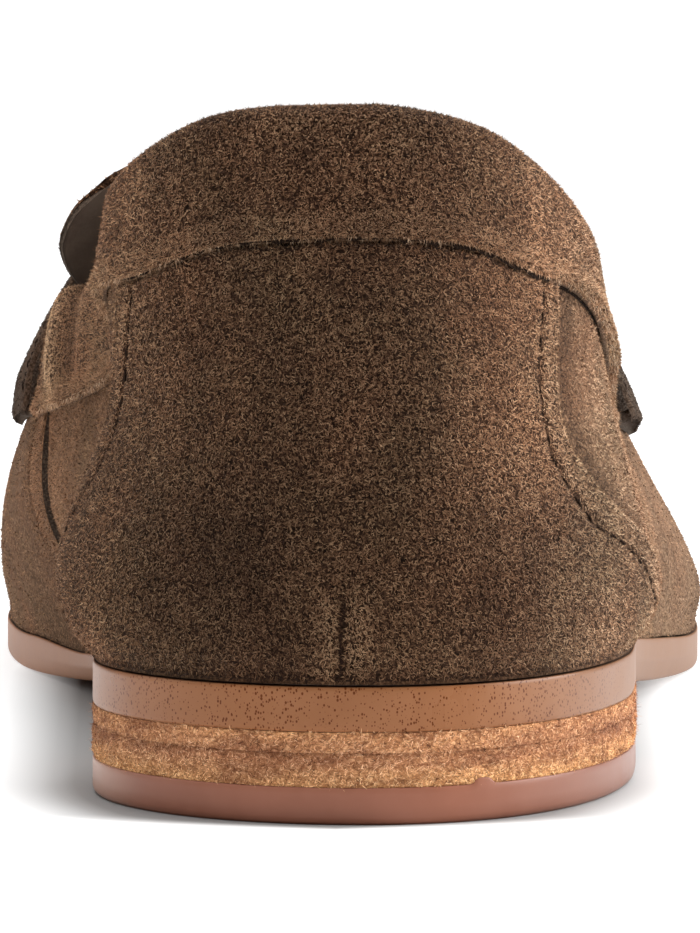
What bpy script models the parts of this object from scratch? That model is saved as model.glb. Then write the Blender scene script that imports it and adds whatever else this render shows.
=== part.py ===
"""Suede tassel loafer for the right foot, as separate solids: sole, heel, insole, upper and its overlays.

Lengths in the tables are millimetres, turned into Blender's metres when a mesh is made.
The shoe is worked out with the heel's back at y = 0, the toe along +y and the lateral side along +x,
then moved so that the origin lies under the middle of the whole shoe.
"""

import math
from collections import namedtuple

import bmesh
import bpy
import numpy as np

MM = 0.001

# Driving sizes
GAP = 0.3
WALL = 1.6
SOLE_MARGIN = 0.8
HEEL_LENGTH = 63.0
HEEL_AXIS_DEG = 4.5
TOP_PIECE = 4.3
LOWER_LIFT = 3.9
INSOLE_THICK = 2.2
INSOLE_INSET = 3.1
BAND_THICK = 1.2
COUNTER_THICK = 1.0
COUNTER_LIFT = 0.45
COUNTER_UP_FROM_SOLE = 3.4
TONGUE_THICK = 1.4
STRAP_THICK = 1.5
STRAP_END_HEIGHT = 37.0
STRAP_END_DROP = 3.0
THROAT_Y = 127.0
BAND_END_Y = 121.0
MIDDLE_OF_SHOE = (-0.15, 145.0)

# Plan outline of the sole: from the heel's back up the lateral side to the toe, and home up the medial side.
# heading is the direction of travel in degrees from +x towards +y.
OutlineNode = namedtuple("OutlineNode", "name x y heading")
OUTLINE = [
    OutlineNode("heel_back", -0.8, 0.0, -HEEL_AXIS_DEG),
    OutlineNode("heel_lateral", 34.2, 42.0, 90.0 - HEEL_AXIS_DEG),
    OutlineNode("waist_lateral", 36.0, 98.0, 86.0),
    OutlineNode("ball_lateral", 49.2, 180.0, 91.0),
    OutlineNode("toe_lateral", 22.0, 276.0, 130.0),
    OutlineNode("toe_tip", -9.0, 292.0, 180.0),
    OutlineNode("toe_medial", -36.5, 268.0, 240.0),
    OutlineNode("ball_medial", -49.2, 192.0, 270.0),
    OutlineNode("waist_medial", -28.8, 92.0, 275.0),
    OutlineNode("heel_medial", -30.4, 34.0, 270.0 - HEEL_AXIS_DEG),
]
HANDLE = 0.39
HEEL_ROUND_Y = 42.0
TOE_ROUND_Y = 250.0
TOE_TIP_Y = 292.0

# Side profile of the sole: height of its top (the feather line) and its thickness
BottomRow = namedtuple("BottomRow", "y top thick")
BOTTOM = [
    BottomRow(0.0, 15.8, 5.2),
    BottomRow(48.0, 15.6, 5.2),
    BottomRow(80.0, 13.2, 5.5),
    BottomRow(130.0, 7.4, 5.7),
    BottomRow(166.0, 4.8, 4.8),
    BottomRow(206.0, 4.8, 4.8),
    BottomRow(250.0, 7.7, 4.6),
    BottomRow(292.0, 13.4, 4.4),
]

# Heel wall: height above the feather line, and reach out from it at the medial side, lateral side and back
HeelLevel = namedtuple("HeelLevel", "name up medial lateral back")
HEEL_LEVELS = [
    HeelLevel("feather", 0.0, 0.0, 0.0, 0.0),
    HeelLevel("body", 9.0, 3.6, 2.5, 1.4),
    HeelLevel("flank", 28.5, -1.4, -2.2, 0.2),
    HeelLevel("shoulder", 43.0, -1.3, -4.8, -2.6),
    HeelLevel("crown", 54.0, -2.4, -6.4, -5.2),
    HeelLevel("top", 66.0, -5.0, -9.5, -8.5),
]

# Instep and forefoot: reach of the widest line beyond the sole's edge, its height, and the ridge on top
BodyRow = namedtuple("BodyRow", "y medial medial_z lateral lateral_z ridge_x ridge_z")
BODY = [
    BodyRow(50.0, 3.0, 26.0, 0.9, 25.0, -0.5, 88.0),
    BodyRow(95.0, 7.4, 27.0, 0.4, 25.0, -2.5, 77.0),
    BodyRow(120.0, 8.0, 27.0, 0.0, 22.0, -4.0, 71.0),
    BodyRow(145.0, 5.4, 22.0, 0.2, 15.5, -5.0, 61.5),
    BodyRow(180.0, 0.8, 14.0, 0.3, 10.0, -6.5, 48.5),
    BodyRow(215.0, 0.5, 12.5, 0.4, 10.5, -8.0, 39.5),
    BodyRow(245.0, 0.4, 14.0, 0.4, 13.0, -9.0, 34.0),
    BodyRow(264.0, 0.2, 15.0, 0.2, 15.0, -9.0, 30.5),
]

# Section of the instep and forefoot above the widest line: share of the height, share of the half width
SectionLevel = namedtuple("SectionLevel", "name up instep_medial instep_lateral fore_medial fore_lateral")
SECTION_LEVELS = [
    SectionLevel("body", 0.0, 1.0, 1.0, 1.0, 1.0),
    SectionLevel("flank", 0.35, 0.94, 0.86, 0.93, 0.885),
    SectionLevel("shoulder", 0.68, 0.75, 0.70, 0.77, 0.72),
    SectionLevel("crown", 0.90, 0.50, 0.46, 0.47, 0.44),
    SectionLevel("ridge", 1.0, 0.0, 0.0, 0.0, 0.0),
]
HEEL_FORM_ENDS = (42.0, 122.0)
INSTEP_FORM_ENDS = (130.0, 200.0)
TOE_FAN_START = 214.0
TOE_FAN_PULL = 30.0
TOE_FORM_ENDS = (220.0, 268.0)
RIDGE = len(HEEL_LEVELS) - 1

# Collar: outside height of the folded edge, and of the band's lower hem, on both sides
CollarRow = namedtuple("CollarRow", "y medial lateral hem_medial hem_lateral")
COLLAR = [
    CollarRow(0.0, 81.9, 81.9, 66.2, 66.2),
    CollarRow(7.0, 80.8, 79.6, 65.2, 65.0),
    CollarRow(18.0, 76.4, 75.0, 62.2, 61.8),
    CollarRow(36.0, 69.8, 67.8, 57.6, 56.4),
    CollarRow(62.0, 64.0, 61.0, 50.6, 48.0),
    CollarRow(95.0, 58.6, 55.6, 42.4, 40.0),
    CollarRow(120.0, 53.4, 51.0, 37.8, 36.4),
]

# Front edge of the counter panel: distance along the outline from the heel's back, against height
CounterRow = namedtuple("CounterRow", "height reach")
COUNTER = [
    CounterRow(15.0, 69.0),
    CounterRow(21.0, 64.0),
    CounterRow(28.0, 53.0),
    CounterRow(35.0, 43.0),
    CounterRow(42.0, 36.5),
    CounterRow(49.0, 34.0),
    CounterRow(66.0, 36.0),
]

# Tongue: half width as a share of the way from ridge to low edge, and how far each end stands off the last
TongueRow = namedtuple("TongueRow", "y reach flare")
TONGUE = [
    TongueRow(103.4, 0.36, 3.4),
    TongueRow(104.6, 0.56, 7.0),
    TongueRow(106.6, 0.68, 8.2),
    TongueRow(109.4, 0.76, 6.8),
    TongueRow(112.5, 0.80, 4.8),
    TongueRow(116.0, 0.83, 2.4),
    TongueRow(118.6, 0.85, 0.5),
    TongueRow(121.5, 0.88, 0.0),
    TongueRow(130.0, 1.0, 0.0),
    TongueRow(137.0, 1.0, 0.0),
]
TONGUE_LOW_Z = 48.0
TONGUE_LATERAL_FLARE = 0.35

# Strap: its rear and front edges, and its height over the vamp at both, first at the ridge, then at the ends
STRAP_REAR_Y = (121.5, 119.8)
STRAP_FRONT_Y = (146.0, 150.0)
STRAP_LIFT = (2.0, 0.5)
STRAP_SETTLES = (0.72, 1.0)

# Knot and tassels: places on the vamp, and the turned outline of one tassel from its thong to its cut end
KNOT_SIZE = (13.0, 9.0, 5.0)
KNOT_Y = 139.0
TASSEL_LENGTH = 42.0
TASSEL_START_Y = 144.2
TASSEL_SPREAD = 3.4
TASSEL_SPLAY_DEG = 15.0
TASSEL_LIFT = (5.5, 6.4)
TASSEL_STRIPS = 9
TASSEL_STRIP_DEPTH = 0.16
TasselRow = namedtuple("TasselRow", "along radius cut")
TASSEL = [
    TasselRow(0.00, 1.3, 0.0),
    TasselRow(0.15, 1.3, 0.0),
    TasselRow(0.18, 2.8, 0.0),
    TasselRow(0.25, 4.0, 0.0),
    TasselRow(0.35, 4.4, 0.0),
    TasselRow(0.41, 4.2, 0.0),
    TasselRow(0.44, 3.8, 0.5),
    TasselRow(0.60, 4.5, 1.0),
    TasselRow(0.82, 5.2, 1.0),
    TasselRow(1.00, 5.6, 1.0),
]

# Linear colours, roughness
SUEDE = ((0.086, 0.045, 0.026), 0.95)
LEATHER_EDGE = ((0.42, 0.19, 0.088), 0.55)
STACKED_LEATHER = ((0.38, 0.19, 0.085), 0.8)
RUBBER = ((0.24, 0.10, 0.067), 0.6)
LINING = ((0.040, 0.026, 0.021), 0.7)


def table_value(rows, key, column, at):
    """Monotone cubic through one named column of a table, held level past both ends."""
    xs = np.array([getattr(row, key) for row in rows])
    ys = np.array([getattr(row, column) for row in rows])
    at = min(max(at, xs[0]), xs[-1])
    steps = np.diff(xs)
    slopes = np.diff(ys) / steps
    tangents = np.concatenate([slopes[:1], np.zeros(len(xs) - 2), slopes[-1:]])
    for i in range(1, len(xs) - 1):
        if slopes[i - 1] * slopes[i] > 0:
            tangents[i] = 2.0 / (1.0 / slopes[i - 1] + 1.0 / slopes[i])
    i = min(int(np.searchsorted(xs, at, side="right")) - 1, len(steps) - 1)
    u = (at - xs[i]) / steps[i]
    rise = (3.0 - 2.0 * u) * u * u
    bend = u * (1.0 - u) * steps[i]
    return ys[i] + (ys[i + 1] - ys[i]) * rise + bend * ((1.0 - u) * tangents[i] - u * tangents[i + 1])


def smoothstep(start, end, at):
    u = min(max((at - start) / (end - start), 0.0), 1.0)
    return u * u * (3.0 - 2.0 * u)


def mix(first, second, share):
    return first + (second - first) * share


def outline_samples(per_segment=120):
    """Points along the closed outline, one smooth curve between each pair of nodes."""
    points = []
    for node, after in zip(OUTLINE, OUTLINE[1:] + OUTLINE[:1]):
        start, end = np.array([node.x, node.y]), np.array([after.x, after.y])
        reach = HANDLE * np.linalg.norm(end - start)
        leave, arrive = math.radians(node.heading), math.radians(after.heading)
        first = start + reach * np.array([math.cos(leave), math.sin(leave)])
        second = end - reach * np.array([math.cos(arrive), math.sin(arrive)])
        for u in np.arange(per_segment) / per_segment:
            v = 1.0 - u
            points.append(v**3 * start + 3 * v * v * u * first + 3 * v * u * u * second + u**3 * end)
    return np.array(points)


def outline_tables():
    """Arc length from the heel's back against position: lateral side counted up from 0, medial side down."""
    loop = outline_samples()
    loop = np.vstack([loop, loop[:1]])
    arc = np.concatenate([[0.0], np.cumsum(np.linalg.norm(np.diff(loop, axis=0), axis=1))])
    tip = int(np.argmax(loop[:, 1]))
    return {
        "arc": np.concatenate([arc[tip:] - arc[-1], arc[1 : tip + 1]]),
        "point": np.vstack([loop[tip:], loop[1 : tip + 1]]),
    }


EDGE = outline_tables()
MEDIAL, LATERAL = -1, 1


def outline_point(arc):
    return np.array([np.interp(arc, EDGE["arc"], EDGE["point"][:, i]) for i in (0, 1)])


def outline_normal(arc, step=1.5):
    low, high = max(arc - step, EDGE["arc"][0]), min(arc + step, EDGE["arc"][-1])
    along = outline_point(high) - outline_point(low)
    if arc - step < EDGE["arc"][0] or arc + step > EDGE["arc"][-1]:
        along = np.array([-1.0, 0.0])
    along /= np.linalg.norm(along)
    return np.array([along[1], -along[0]])


def arc_at(side, y):
    """Arc length of the outline point at this y on one side."""
    part = EDGE["arc"] * side >= 0
    arcs, ys = EDGE["arc"][part], EDGE["point"][part, 1]
    if side == MEDIAL:
        arcs, ys = arcs[::-1], ys[::-1]
    return float(np.interp(y, np.maximum.accumulate(ys), arcs))


def inset_point(arc, inset):
    return outline_point(arc) - outline_normal(arc) * inset


def sole_top(y):
    return table_value(BOTTOM, "y", "top", y)


def sole_bottom(y):
    return sole_top(y) - table_value(BOTTOM, "y", "thick", y)


def ridge_point(y):
    """Point of the upper's top ridge that belongs to the outline at y; it falls behind towards the toe."""
    fan = max(0.0, (y - TOE_FAN_START) / (TOE_TIP_Y - TOE_FAN_START))
    y -= TOE_FAN_PULL * fan * fan
    return np.array([table_value(BODY, "y", "ridge_x", y), y, table_value(BODY, "y", "ridge_z", y)])


def heel_form(arc, feather):
    """Levels of the heel's wall at one place on the outline."""
    out = outline_normal(arc)
    tilt = math.radians(HEEL_AXIS_DEG)
    backness = max(0.0, out @ np.array([-math.sin(tilt), -math.cos(tilt)])) ** 2
    levels = []
    for level in HEEL_LEVELS:
        reach = mix(level.medial if arc < 0 else level.lateral, level.back, backness)
        levels.append([*(feather[:2] + out * reach), feather[2] + level.up])
    return np.array(levels)


def fore_form(arc, feather):
    """Levels of the instep and forefoot section through one place on the outline."""
    side = "medial" if arc < 0 else "lateral"
    y = feather[1]
    ridge = ridge_point(y)
    toe = smoothstep(*TOE_FORM_ENDS, y)
    reach = table_value(BODY, "y", side, y)
    wide = np.array([outline_point(arc)[0] + (reach if arc > 0 else -reach), y])
    round_toe = outline_point(arc) + outline_normal(arc) * reach
    body = np.array([*mix(wide, round_toe, toe), table_value(BODY, "y", side + "_z", y)])
    fore = smoothstep(*INSTEP_FORM_ENDS, y)
    levels = [feather]
    for level in SECTION_LEVELS:
        share = mix(getattr(level, "instep_" + side), getattr(level, "fore_" + side), fore)
        share = mix(share, (level.fore_medial + level.fore_lateral) / 2.0, toe)
        levels.append([*mix(ridge[:2], body[:2], share), mix(body[2], ridge[2], level.up)])
    return np.array(levels)


def wall_levels(arc):
    """The control levels, from feather line to ridge, of the upper's outside at one place on the outline."""
    plan = inset_point(arc, SOLE_MARGIN)
    feather = np.array([*plan, sole_top(plan[1]) + GAP])
    share = smoothstep(*HEEL_FORM_ENDS, plan[1])
    if share == 0.0:
        return heel_form(arc, feather), share
    if share == 1.0:
        return fore_form(arc, feather), share
    return mix(heel_form(arc, feather), fore_form(arc, feather), share), share


def smooth_column(arc):
    """Levels, tangents and spans of a smooth curve up the wall, level with the ridge where it reaches it."""
    points, fore_share = wall_levels(arc)
    steps = np.diff(points, axis=0)
    spans = np.sqrt(np.linalg.norm(steps, axis=1))[:, None]
    rates = steps / spans
    tangents = np.empty_like(points)
    tangents[1:-1] = (rates[:-1] * spans[1:] + rates[1:] * spans[:-1]) / (spans[:-1] + spans[1:])
    tangents[0] = rates[0]
    tangents[-1] = rates[-1] * mix(np.ones(3), np.array([1.35, 1.35, 0.0]), fore_share)
    return points, tangents, spans


def column_point(column, level):
    points, tangents, spans = column
    i = min(int(level), RIDGE - 1)
    u = level - i
    rise = (3.0 - 2.0 * u) * u * u
    bend = u * (1.0 - u) * spans[i]
    return mix(points[i], points[i + 1], rise) + bend * ((1.0 - u) * tangents[i] - u * tangents[i + 1])


def level_at_height(column, height):
    """Level at which a wall column reaches a height, searched up from the feather line."""
    levels = np.linspace(0.0, RIDGE, 121)
    heights = np.maximum.accumulate([column_point(column, level)[2] for level in levels])
    return float(np.interp(height, heights, levels))


def collar_height(arc, hem=False):
    side = ("hem_" if hem else "") + ("medial" if arc < 0 else "lateral")
    return table_value(COLLAR, "y", side, outline_point(arc)[1])


def rim_radius():
    return WALL / 2.0 + GAP


def edge_level(arc, column):
    """Level of the upper's own edge: the collar under its band, or the ridge in front of the throat."""
    y = outline_point(arc)[1]
    if y >= THROAT_Y:
        return float(RIDGE)
    top = level_at_height(column, collar_height(arc) - rim_radius() - BAND_THICK)
    return mix(top, RIDGE, smoothstep(BAND_END_Y, THROAT_Y, y))


def heel_to_toe(count_heel, count_side, count_toe, end_y=TOE_TIP_Y):
    """Stations along one side, close together around the heel and the toe."""
    turns = np.linspace(0.0, math.pi / 2.0, count_heel, endpoint=False)
    heel = [HEEL_ROUND_Y * (1.0 - math.cos(turn)) for turn in turns]
    side = list(np.linspace(HEEL_ROUND_Y, TOE_ROUND_Y, count_side, endpoint=False))
    toe = [mix(TOE_ROUND_Y, TOE_TIP_Y, math.sin(turn)) for turn in np.linspace(0.0, math.pi / 2.0, count_toe)]
    return [y for y in heel + side + toe if y <= end_y]


def grid_normals(grid):
    """Unit normals of a grid of points, from its differences along both ways."""
    along, up = np.gradient(grid, axis=0), np.gradient(grid, axis=1)
    normals = np.cross(along, up)
    return normals / np.linalg.norm(normals, axis=2, keepdims=True)


def make_material(name, finish):
    colour, roughness = finish
    material = bpy.data.materials.new(name)
    material.use_nodes = True
    shader = material.node_tree.nodes["Principled BSDF"]
    shader.inputs["Base Color"].default_value = (*colour, 1.0)
    shader.inputs["Roughness"].default_value = roughness
    material.diffuse_color = (*colour, 1.0)
    return material


def add_object(name, mesh, material, parent):
    obj = bpy.data.objects.new(name, mesh)
    obj.data.materials.append(material)
    obj.parent = parent
    parent.users_collection[0].objects.link(obj)
    mesh.shade_smooth()
    return obj


def mesh_from(name, points, faces, closed=True, weld=0.01):
    """Mesh in metres from points in millimetres, with coincident points made one."""
    build = bmesh.new()
    for point in points:
        build.verts.new(np.asarray(point) * MM)
    build.verts.ensure_lookup_table()
    for face in faces:
        build.faces.new([build.verts[i] for i in face])
    bmesh.ops.remove_doubles(build, verts=build.verts, dist=weld * MM)
    if closed:
        bmesh.ops.recalc_face_normals(build, faces=build.faces)
    mesh = bpy.data.meshes.new(name)
    build.to_mesh(mesh)
    build.free()
    return mesh


def grid_faces(columns, rows):
    return [
        (i * rows + j, (i + 1) * rows + j, (i + 1) * rows + j + 1, i * rows + j + 1)
        for i in range(columns - 1)
        for j in range(rows - 1)
    ]


def add_shell(name, grid, thickness, offset, material, parent):
    """An open grid of points thickened into a closed wall: offset +1 adds outwards, -1 inwards."""
    columns, rows = grid.shape[:2]
    mesh = mesh_from(name, grid.reshape(-1, 3), grid_faces(columns, rows), closed=False)
    obj = add_object(name, mesh, material, parent)
    wall = obj.modifiers.new("wall", "SOLIDIFY")
    wall.thickness = thickness * MM
    wall.offset = offset
    return obj


def wall_arcs(end_y):
    """Stations of the upper's wall from the medial side round the heel to the lateral side."""
    stations = sorted(heel_to_toe(12, 20, 8, end_y=end_y) + [BAND_END_Y])
    return [arc_at(MEDIAL, y) for y in reversed(stations)] + [arc_at(LATERAL, y) for y in stations[1:]]


def make_upper(material, parent):
    """The hollow upper: one column of points up the wall at each station round the whole outline."""
    arcs = wall_arcs(TOE_TIP_Y)
    shares = [0.0, 0.05, 0.11, 0.17, 0.23, 0.30, 0.38, 0.46, 0.55, 0.65, 0.75, 0.84, 0.92, 1.0]
    grid = []
    for arc in arcs:
        column = smooth_column(arc)
        edge = edge_level(arc, column)
        grid.append([column_point(column, share * edge) for share in shares])
    return add_shell("upper", np.array(grid), WALL, -1.0, material, parent)


def make_counter(material, parent):
    """Panel around the heel's back, from just over the sole to just under the collar band."""
    grid = []
    for across in np.linspace(-1.0, 1.0, 29):
        line = []
        for up in np.linspace(0.0, 1.0, 11):
            height = mix(sole_top(0.0) + COUNTER_UP_FROM_SOLE, COLLAR[0].hem_medial, up)
            for _ in range(4):
                arc = across * table_value(COUNTER, "height", "reach", height)
                column = smooth_column(arc)
                low = sole_top(outline_point(arc)[1]) + COUNTER_UP_FROM_SOLE
                height = mix(low, collar_height(arc, hem=True) - 2.0 * GAP, up)
            line.append(column_point(column, level_at_height(column, height)))
        grid.append(line)
    grid = np.array(grid)
    grid += COUNTER_LIFT * grid_normals(grid)
    return add_shell("counter_panel", grid, COUNTER_THICK, 1.0, material, parent)


def make_collar_band(material, parent):
    """Band folded over the collar: up the outside, round the rim and a little way down the inside."""
    arcs = wall_arcs(BAND_END_Y)
    columns = [smooth_column(arc) for arc in arcs]
    edges = [edge_level(arc, column) for arc, column in zip(arcs, columns)]
    hems = [level_at_height(column, collar_height(arc, hem=True)) for arc, column in zip(arcs, columns)]
    outside = np.array([[column_point(column, mix(hem, edge, share)) for share in (0.0, 0.25, 0.5, 0.75, 1.0)]
                        for column, hem, edge in zip(columns, hems, edges)])
    normals = grid_normals(outside)
    rim, out = outside[:, -1], normals[:, -1]
    up = outside[:, -1] - outside[:, -2]
    up /= np.linalg.norm(up, axis=1, keepdims=True)
    radius = rim_radius()
    rows = [outside[:, j] + GAP * normals[:, j] for j in range(outside.shape[1])]
    middle = rim - out * WALL / 2.0
    for turn in np.linspace(0.0, math.pi, 5)[1:]:
        rows.append(middle + radius * (math.cos(turn) * out + math.sin(turn) * up))
    rows += [outside[:, j] - (WALL + GAP) * normals[:, j] for j in (3, 2)]
    grid = np.stack(rows, axis=1)
    return add_shell("collar_band", grid, BAND_THICK, 1.0, material, parent)


def instep_point(across, y, low_z):
    """Point of the last's surface: across runs from -1 at low_z on the medial side, over the ridge, to +1."""
    column = smooth_column(arc_at(LATERAL if across > 0 else MEDIAL, y))
    return column_point(column, mix(RIDGE, level_at_height(column, low_z), abs(across)))


def make_tongue(material, parent):
    """Flap over the throat: its front is tucked under the strap, its free end stands off the last."""
    acrosses = np.linspace(-1.0, 1.0, 25)
    grid = np.array([[instep_point(across * row.reach, row.y, TONGUE_LOW_Z) for row in TONGUE]
                     for across in acrosses])
    sides = np.where(acrosses > 0, TONGUE_LATERAL_FLARE, 1.0)
    lift = GAP + np.outer(sides * acrosses**2, [row.flare for row in TONGUE])
    grid += lift[:, :, None] * grid_normals(grid)
    return add_shell("tongue", grid, TONGUE_THICK, 1.0, material, parent)


def make_strap(material, parent):
    """Strap across the instep, over the tongue and the collar band's ends, close to the vamp in front."""
    shares = np.linspace(0.0, 1.0, 7)
    grid = []
    for across in np.linspace(-1.0, 1.0, 27):
        rear, front = mix(*STRAP_REAR_Y, abs(across)), mix(*STRAP_FRONT_Y, abs(across))
        low = [STRAP_END_HEIGHT - STRAP_END_DROP * share**2 for share in shares]
        grid.append([instep_point(across, mix(rear, front, share), z) for share, z in zip(shares, low)])
    grid = np.array(grid)
    lift = np.array([mix(*STRAP_LIFT, smoothstep(*STRAP_SETTLES, share)) for share in shares])
    grid += lift[None, :, None] * grid_normals(grid)
    return add_shell("saddle_strap", grid, STRAP_THICK, 1.0, material, parent)


def slab(name, stations, inset, low, high, material, parent, side_rows):
    """Closed slab inside the outline: rings of points at each height, its two faces made of strips."""
    left = [arc_at(MEDIAL, y) for y in stations]
    right = [arc_at(LATERAL, y) for y in stations]
    ring = right + left[-2:0:-1]
    points = []
    for share, tuck in side_rows:
        for arc in ring:
            x, y = inset_point(arc, inset + tuck)
            points.append((x, y, mix(low(y), high(y), share)))
    count, last = len(ring), len(side_rows) - 1
    faces = []
    for row in range(last):
        for i in range(count):
            j = (i + 1) % count
            faces.append((row * count + i, row * count + j, (row + 1) * count + j, (row + 1) * count + i))
    for i in range(count // 2):
        pair = [i, i + 1, (count - i - 1) % count, (count - i) % count]
        faces.append([last * count + k for k in dict.fromkeys(pair)])
        faces.append([k for k in dict.fromkeys(reversed(pair))])
    return add_object(name, mesh_from(name, points, faces), material, parent)


def make_outsole(material, parent):
    side_rows = ((0.0, 0.7), (0.15, 0.0), (0.9, 0.0), (1.0, 0.4))
    return slab("outsole", heel_to_toe(7, 19, 8), 0.0, sole_bottom, sole_top, material, parent, side_rows)


def make_insole(material, parent):
    side_rows = ((0.0, 0.0), (0.75, 0.0), (1.0, 0.6))
    return slab("insole", heel_to_toe(6, 15, 7), SOLE_MARGIN + INSOLE_INSET,
                lambda y: sole_top(y) + GAP, lambda y: sole_top(y) + GAP + INSOLE_THICK,
                material, parent, side_rows)


def make_heel_piece(name, low, high, material, parent, low_tuck=0.0):
    """One layer of the heel: the outline's back part, closed by a straight breast across the heel's axis."""
    tilt = math.radians(HEEL_AXIS_DEG)
    back = outline_point(0.0)
    breast = {}
    for side in (MEDIAL, LATERAL):
        arcs = np.linspace(0.0, arc_at(side, 1.3 * HEEL_LENGTH), 400)
        reach = [(outline_point(arc) - back) @ np.array([math.sin(tilt), math.cos(tilt)]) for arc in arcs]
        breast[side] = float(np.interp(HEEL_LENGTH, reach, arcs))
    arcs = np.linspace(breast[MEDIAL], breast[LATERAL], 41)
    rings = []
    for share, tuck in ((0.0, low_tuck), (0.12, 0.0), (1.0, 0.0)):
        plan = [inset_point(arc, tuck) for arc in arcs]
        rings.append([(x, y, mix(low(y), high(y), share)) for x, y in plan])
    count = len(arcs)
    faces = []
    for row in range(len(rings) - 1):
        for i in range(count):
            j = (i + 1) % count
            faces.append((row * count + i, row * count + j, (row + 1) * count + j, (row + 1) * count + i))
    top = (len(rings) - 1) * count
    for i in range(count // 2):
        pair = list(dict.fromkeys([i, i + 1, count - 2 - i, count - 1 - i]))
        faces.append([top + k for k in pair])
        faces.append(list(reversed(pair)))
    points = [point for ring in rings for point in ring]
    return add_object(name, mesh_from(name, points, faces), material, parent)


def make_heel(lift_material, rubber_material, parent):
    """Two leather lifts and the rubber top piece, each a little clear of the next."""
    lower_top = TOP_PIECE + LOWER_LIFT
    make_heel_piece("heel_top_piece", lambda y: 0.0, lambda y: TOP_PIECE - GAP, rubber_material, parent, 0.6)
    make_heel_piece("heel_lift_lower", lambda y: TOP_PIECE, lambda y: lower_top - GAP, lift_material, parent)
    make_heel_piece("heel_lift_upper", lambda y: lower_top, lambda y: sole_bottom(y) - GAP,
                    lift_material, parent)


def vamp_height(x, y):
    """Height of the vamp's outside at one place in plan."""
    side = LATERAL if x > ridge_point(y)[0] else MEDIAL
    column = smooth_column(arc_at(side, y))
    line = np.array([column_point(column, level) for level in np.linspace(RIDGE, 2.0, 60)])
    order = np.argsort(line[:, 0])
    return float(np.interp(x, line[order, 0], line[order, 2]))


def vamp_normal(x, y, step=1.0):
    slope_x = vamp_height(x + step, y) - vamp_height(x - step, y)
    slope_y = vamp_height(x, y + step) - vamp_height(x, y - step)
    normal = np.array([-slope_x, -slope_y, 2.0 * step])
    return normal / np.linalg.norm(normal)


def over_vamp(plan, lift):
    return np.array([*plan, vamp_height(*plan)]) + vamp_normal(*plan) * lift


def make_tassel(name, side, material, parent):
    """A thong, a bound cap and a fringe of cut strips, turned about an axis that lies along the vamp."""
    splay = math.radians(TASSEL_SPLAY_DEG) * side
    start = np.array([ridge_point(TASSEL_START_Y)[0] + TASSEL_SPREAD * side, TASSEL_START_Y])
    end = start + TASSEL_LENGTH * 0.93 * np.array([math.sin(splay), math.cos(splay)])
    first, last = over_vamp(start, TASSEL_LIFT[0]), over_vamp(end, TASSEL_LIFT[1])
    axis = (last - first) / np.linalg.norm(last - first)
    across = np.cross(axis, vamp_normal(*start))
    across /= np.linalg.norm(across)
    lift = np.cross(across, axis)
    around = 3 * TASSEL_STRIPS
    points = []
    for row in TASSEL:
        for i in range(around):
            turn = 2.0 * math.pi * i / around
            radius = row.radius * (1.0 - TASSEL_STRIP_DEPTH * row.cut * (i % 3 == 0))
            ring = math.cos(turn) * across + math.sin(turn) * lift
            points.append(first + axis * row.along * TASSEL_LENGTH + radius * ring)
    points = np.array(points)
    seat = min(z - vamp_height(x, y) for x, y, z in points)
    points[:, 2] -= seat - GAP / vamp_normal(*end)[2]
    faces = [tuple(range(around))[::-1], tuple(range((len(TASSEL) - 1) * around, len(TASSEL) * around))]
    for row in range(len(TASSEL) - 1):
        for i in range(around):
            j = (i + 1) % around
            faces.append((row * around + i, row * around + j, (row + 1) * around + j, (row + 1) * around + i))
    return add_object(name, mesh_from(name, points, faces), material, parent)


def make_knot(material, parent):
    """Folded knot that sits on the strap over the ridge, a rounded block."""
    plan = np.array([ridge_point(KNOT_Y)[0], KNOT_Y])
    normal = vamp_normal(*plan)
    build = bmesh.new()
    bmesh.ops.create_cube(build, size=1.0)
    bmesh.ops.scale(build, verts=build.verts, vec=np.array(KNOT_SIZE) * MM)
    mesh = bpy.data.meshes.new("tassel_knot")
    build.to_mesh(mesh)
    build.free()
    obj = add_object("tassel_knot", mesh, material, parent)
    obj.location = over_vamp(plan, STRAP_LIFT[0] + STRAP_THICK + GAP + KNOT_SIZE[2] / 2.0) * MM
    obj.rotation_euler = (-math.atan2(normal[1], normal[2]), 0.0, 0.0)
    rounding = obj.modifiers.new("rounding", "BEVEL")
    rounding.width = 1.8 * MM
    rounding.segments = 2
    return obj


def clear_scene():
    for obj in list(bpy.data.objects):
        bpy.data.objects.remove(obj, do_unlink=True)


def main():
    clear_scene()
    shoe = bpy.data.collections.new("tassel_loafer")
    bpy.context.scene.collection.children.link(shoe)
    root = bpy.data.objects.new("shoe", None)
    root.location = (-MIDDLE_OF_SHOE[0] * MM, -MIDDLE_OF_SHOE[1] * MM, 0.0)
    shoe.objects.link(root)
    suede = make_material("suede", SUEDE)
    lining = make_material("lining", LINING)
    leather_edge = make_material("leather_edge", LEATHER_EDGE)
    stacked = make_material("stacked_leather", STACKED_LEATHER)
    rubber = make_material("rubber", RUBBER)
    make_outsole(leather_edge, root)
    make_heel(stacked, rubber, root)
    make_insole(lining, root)
    make_upper(suede, root)
    make_counter(suede, root)
    make_collar_band(suede, root)
    make_tongue(suede, root)
    make_strap(suede, root)
    make_knot(suede, root)
    make_tassel("tassel_lateral", LATERAL, suede, root)
    make_tassel("tassel_medial", MEDIAL, suede, root)


main()
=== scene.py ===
"""Suede tassel loafer, right foot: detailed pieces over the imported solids, with floor, light and camera.

Lengths are millimetres with the heel's back at y = 0, the toe along +y and the lateral side along +x,
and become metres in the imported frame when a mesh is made.
"""

import itertools
import math
from collections import namedtuple

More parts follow.
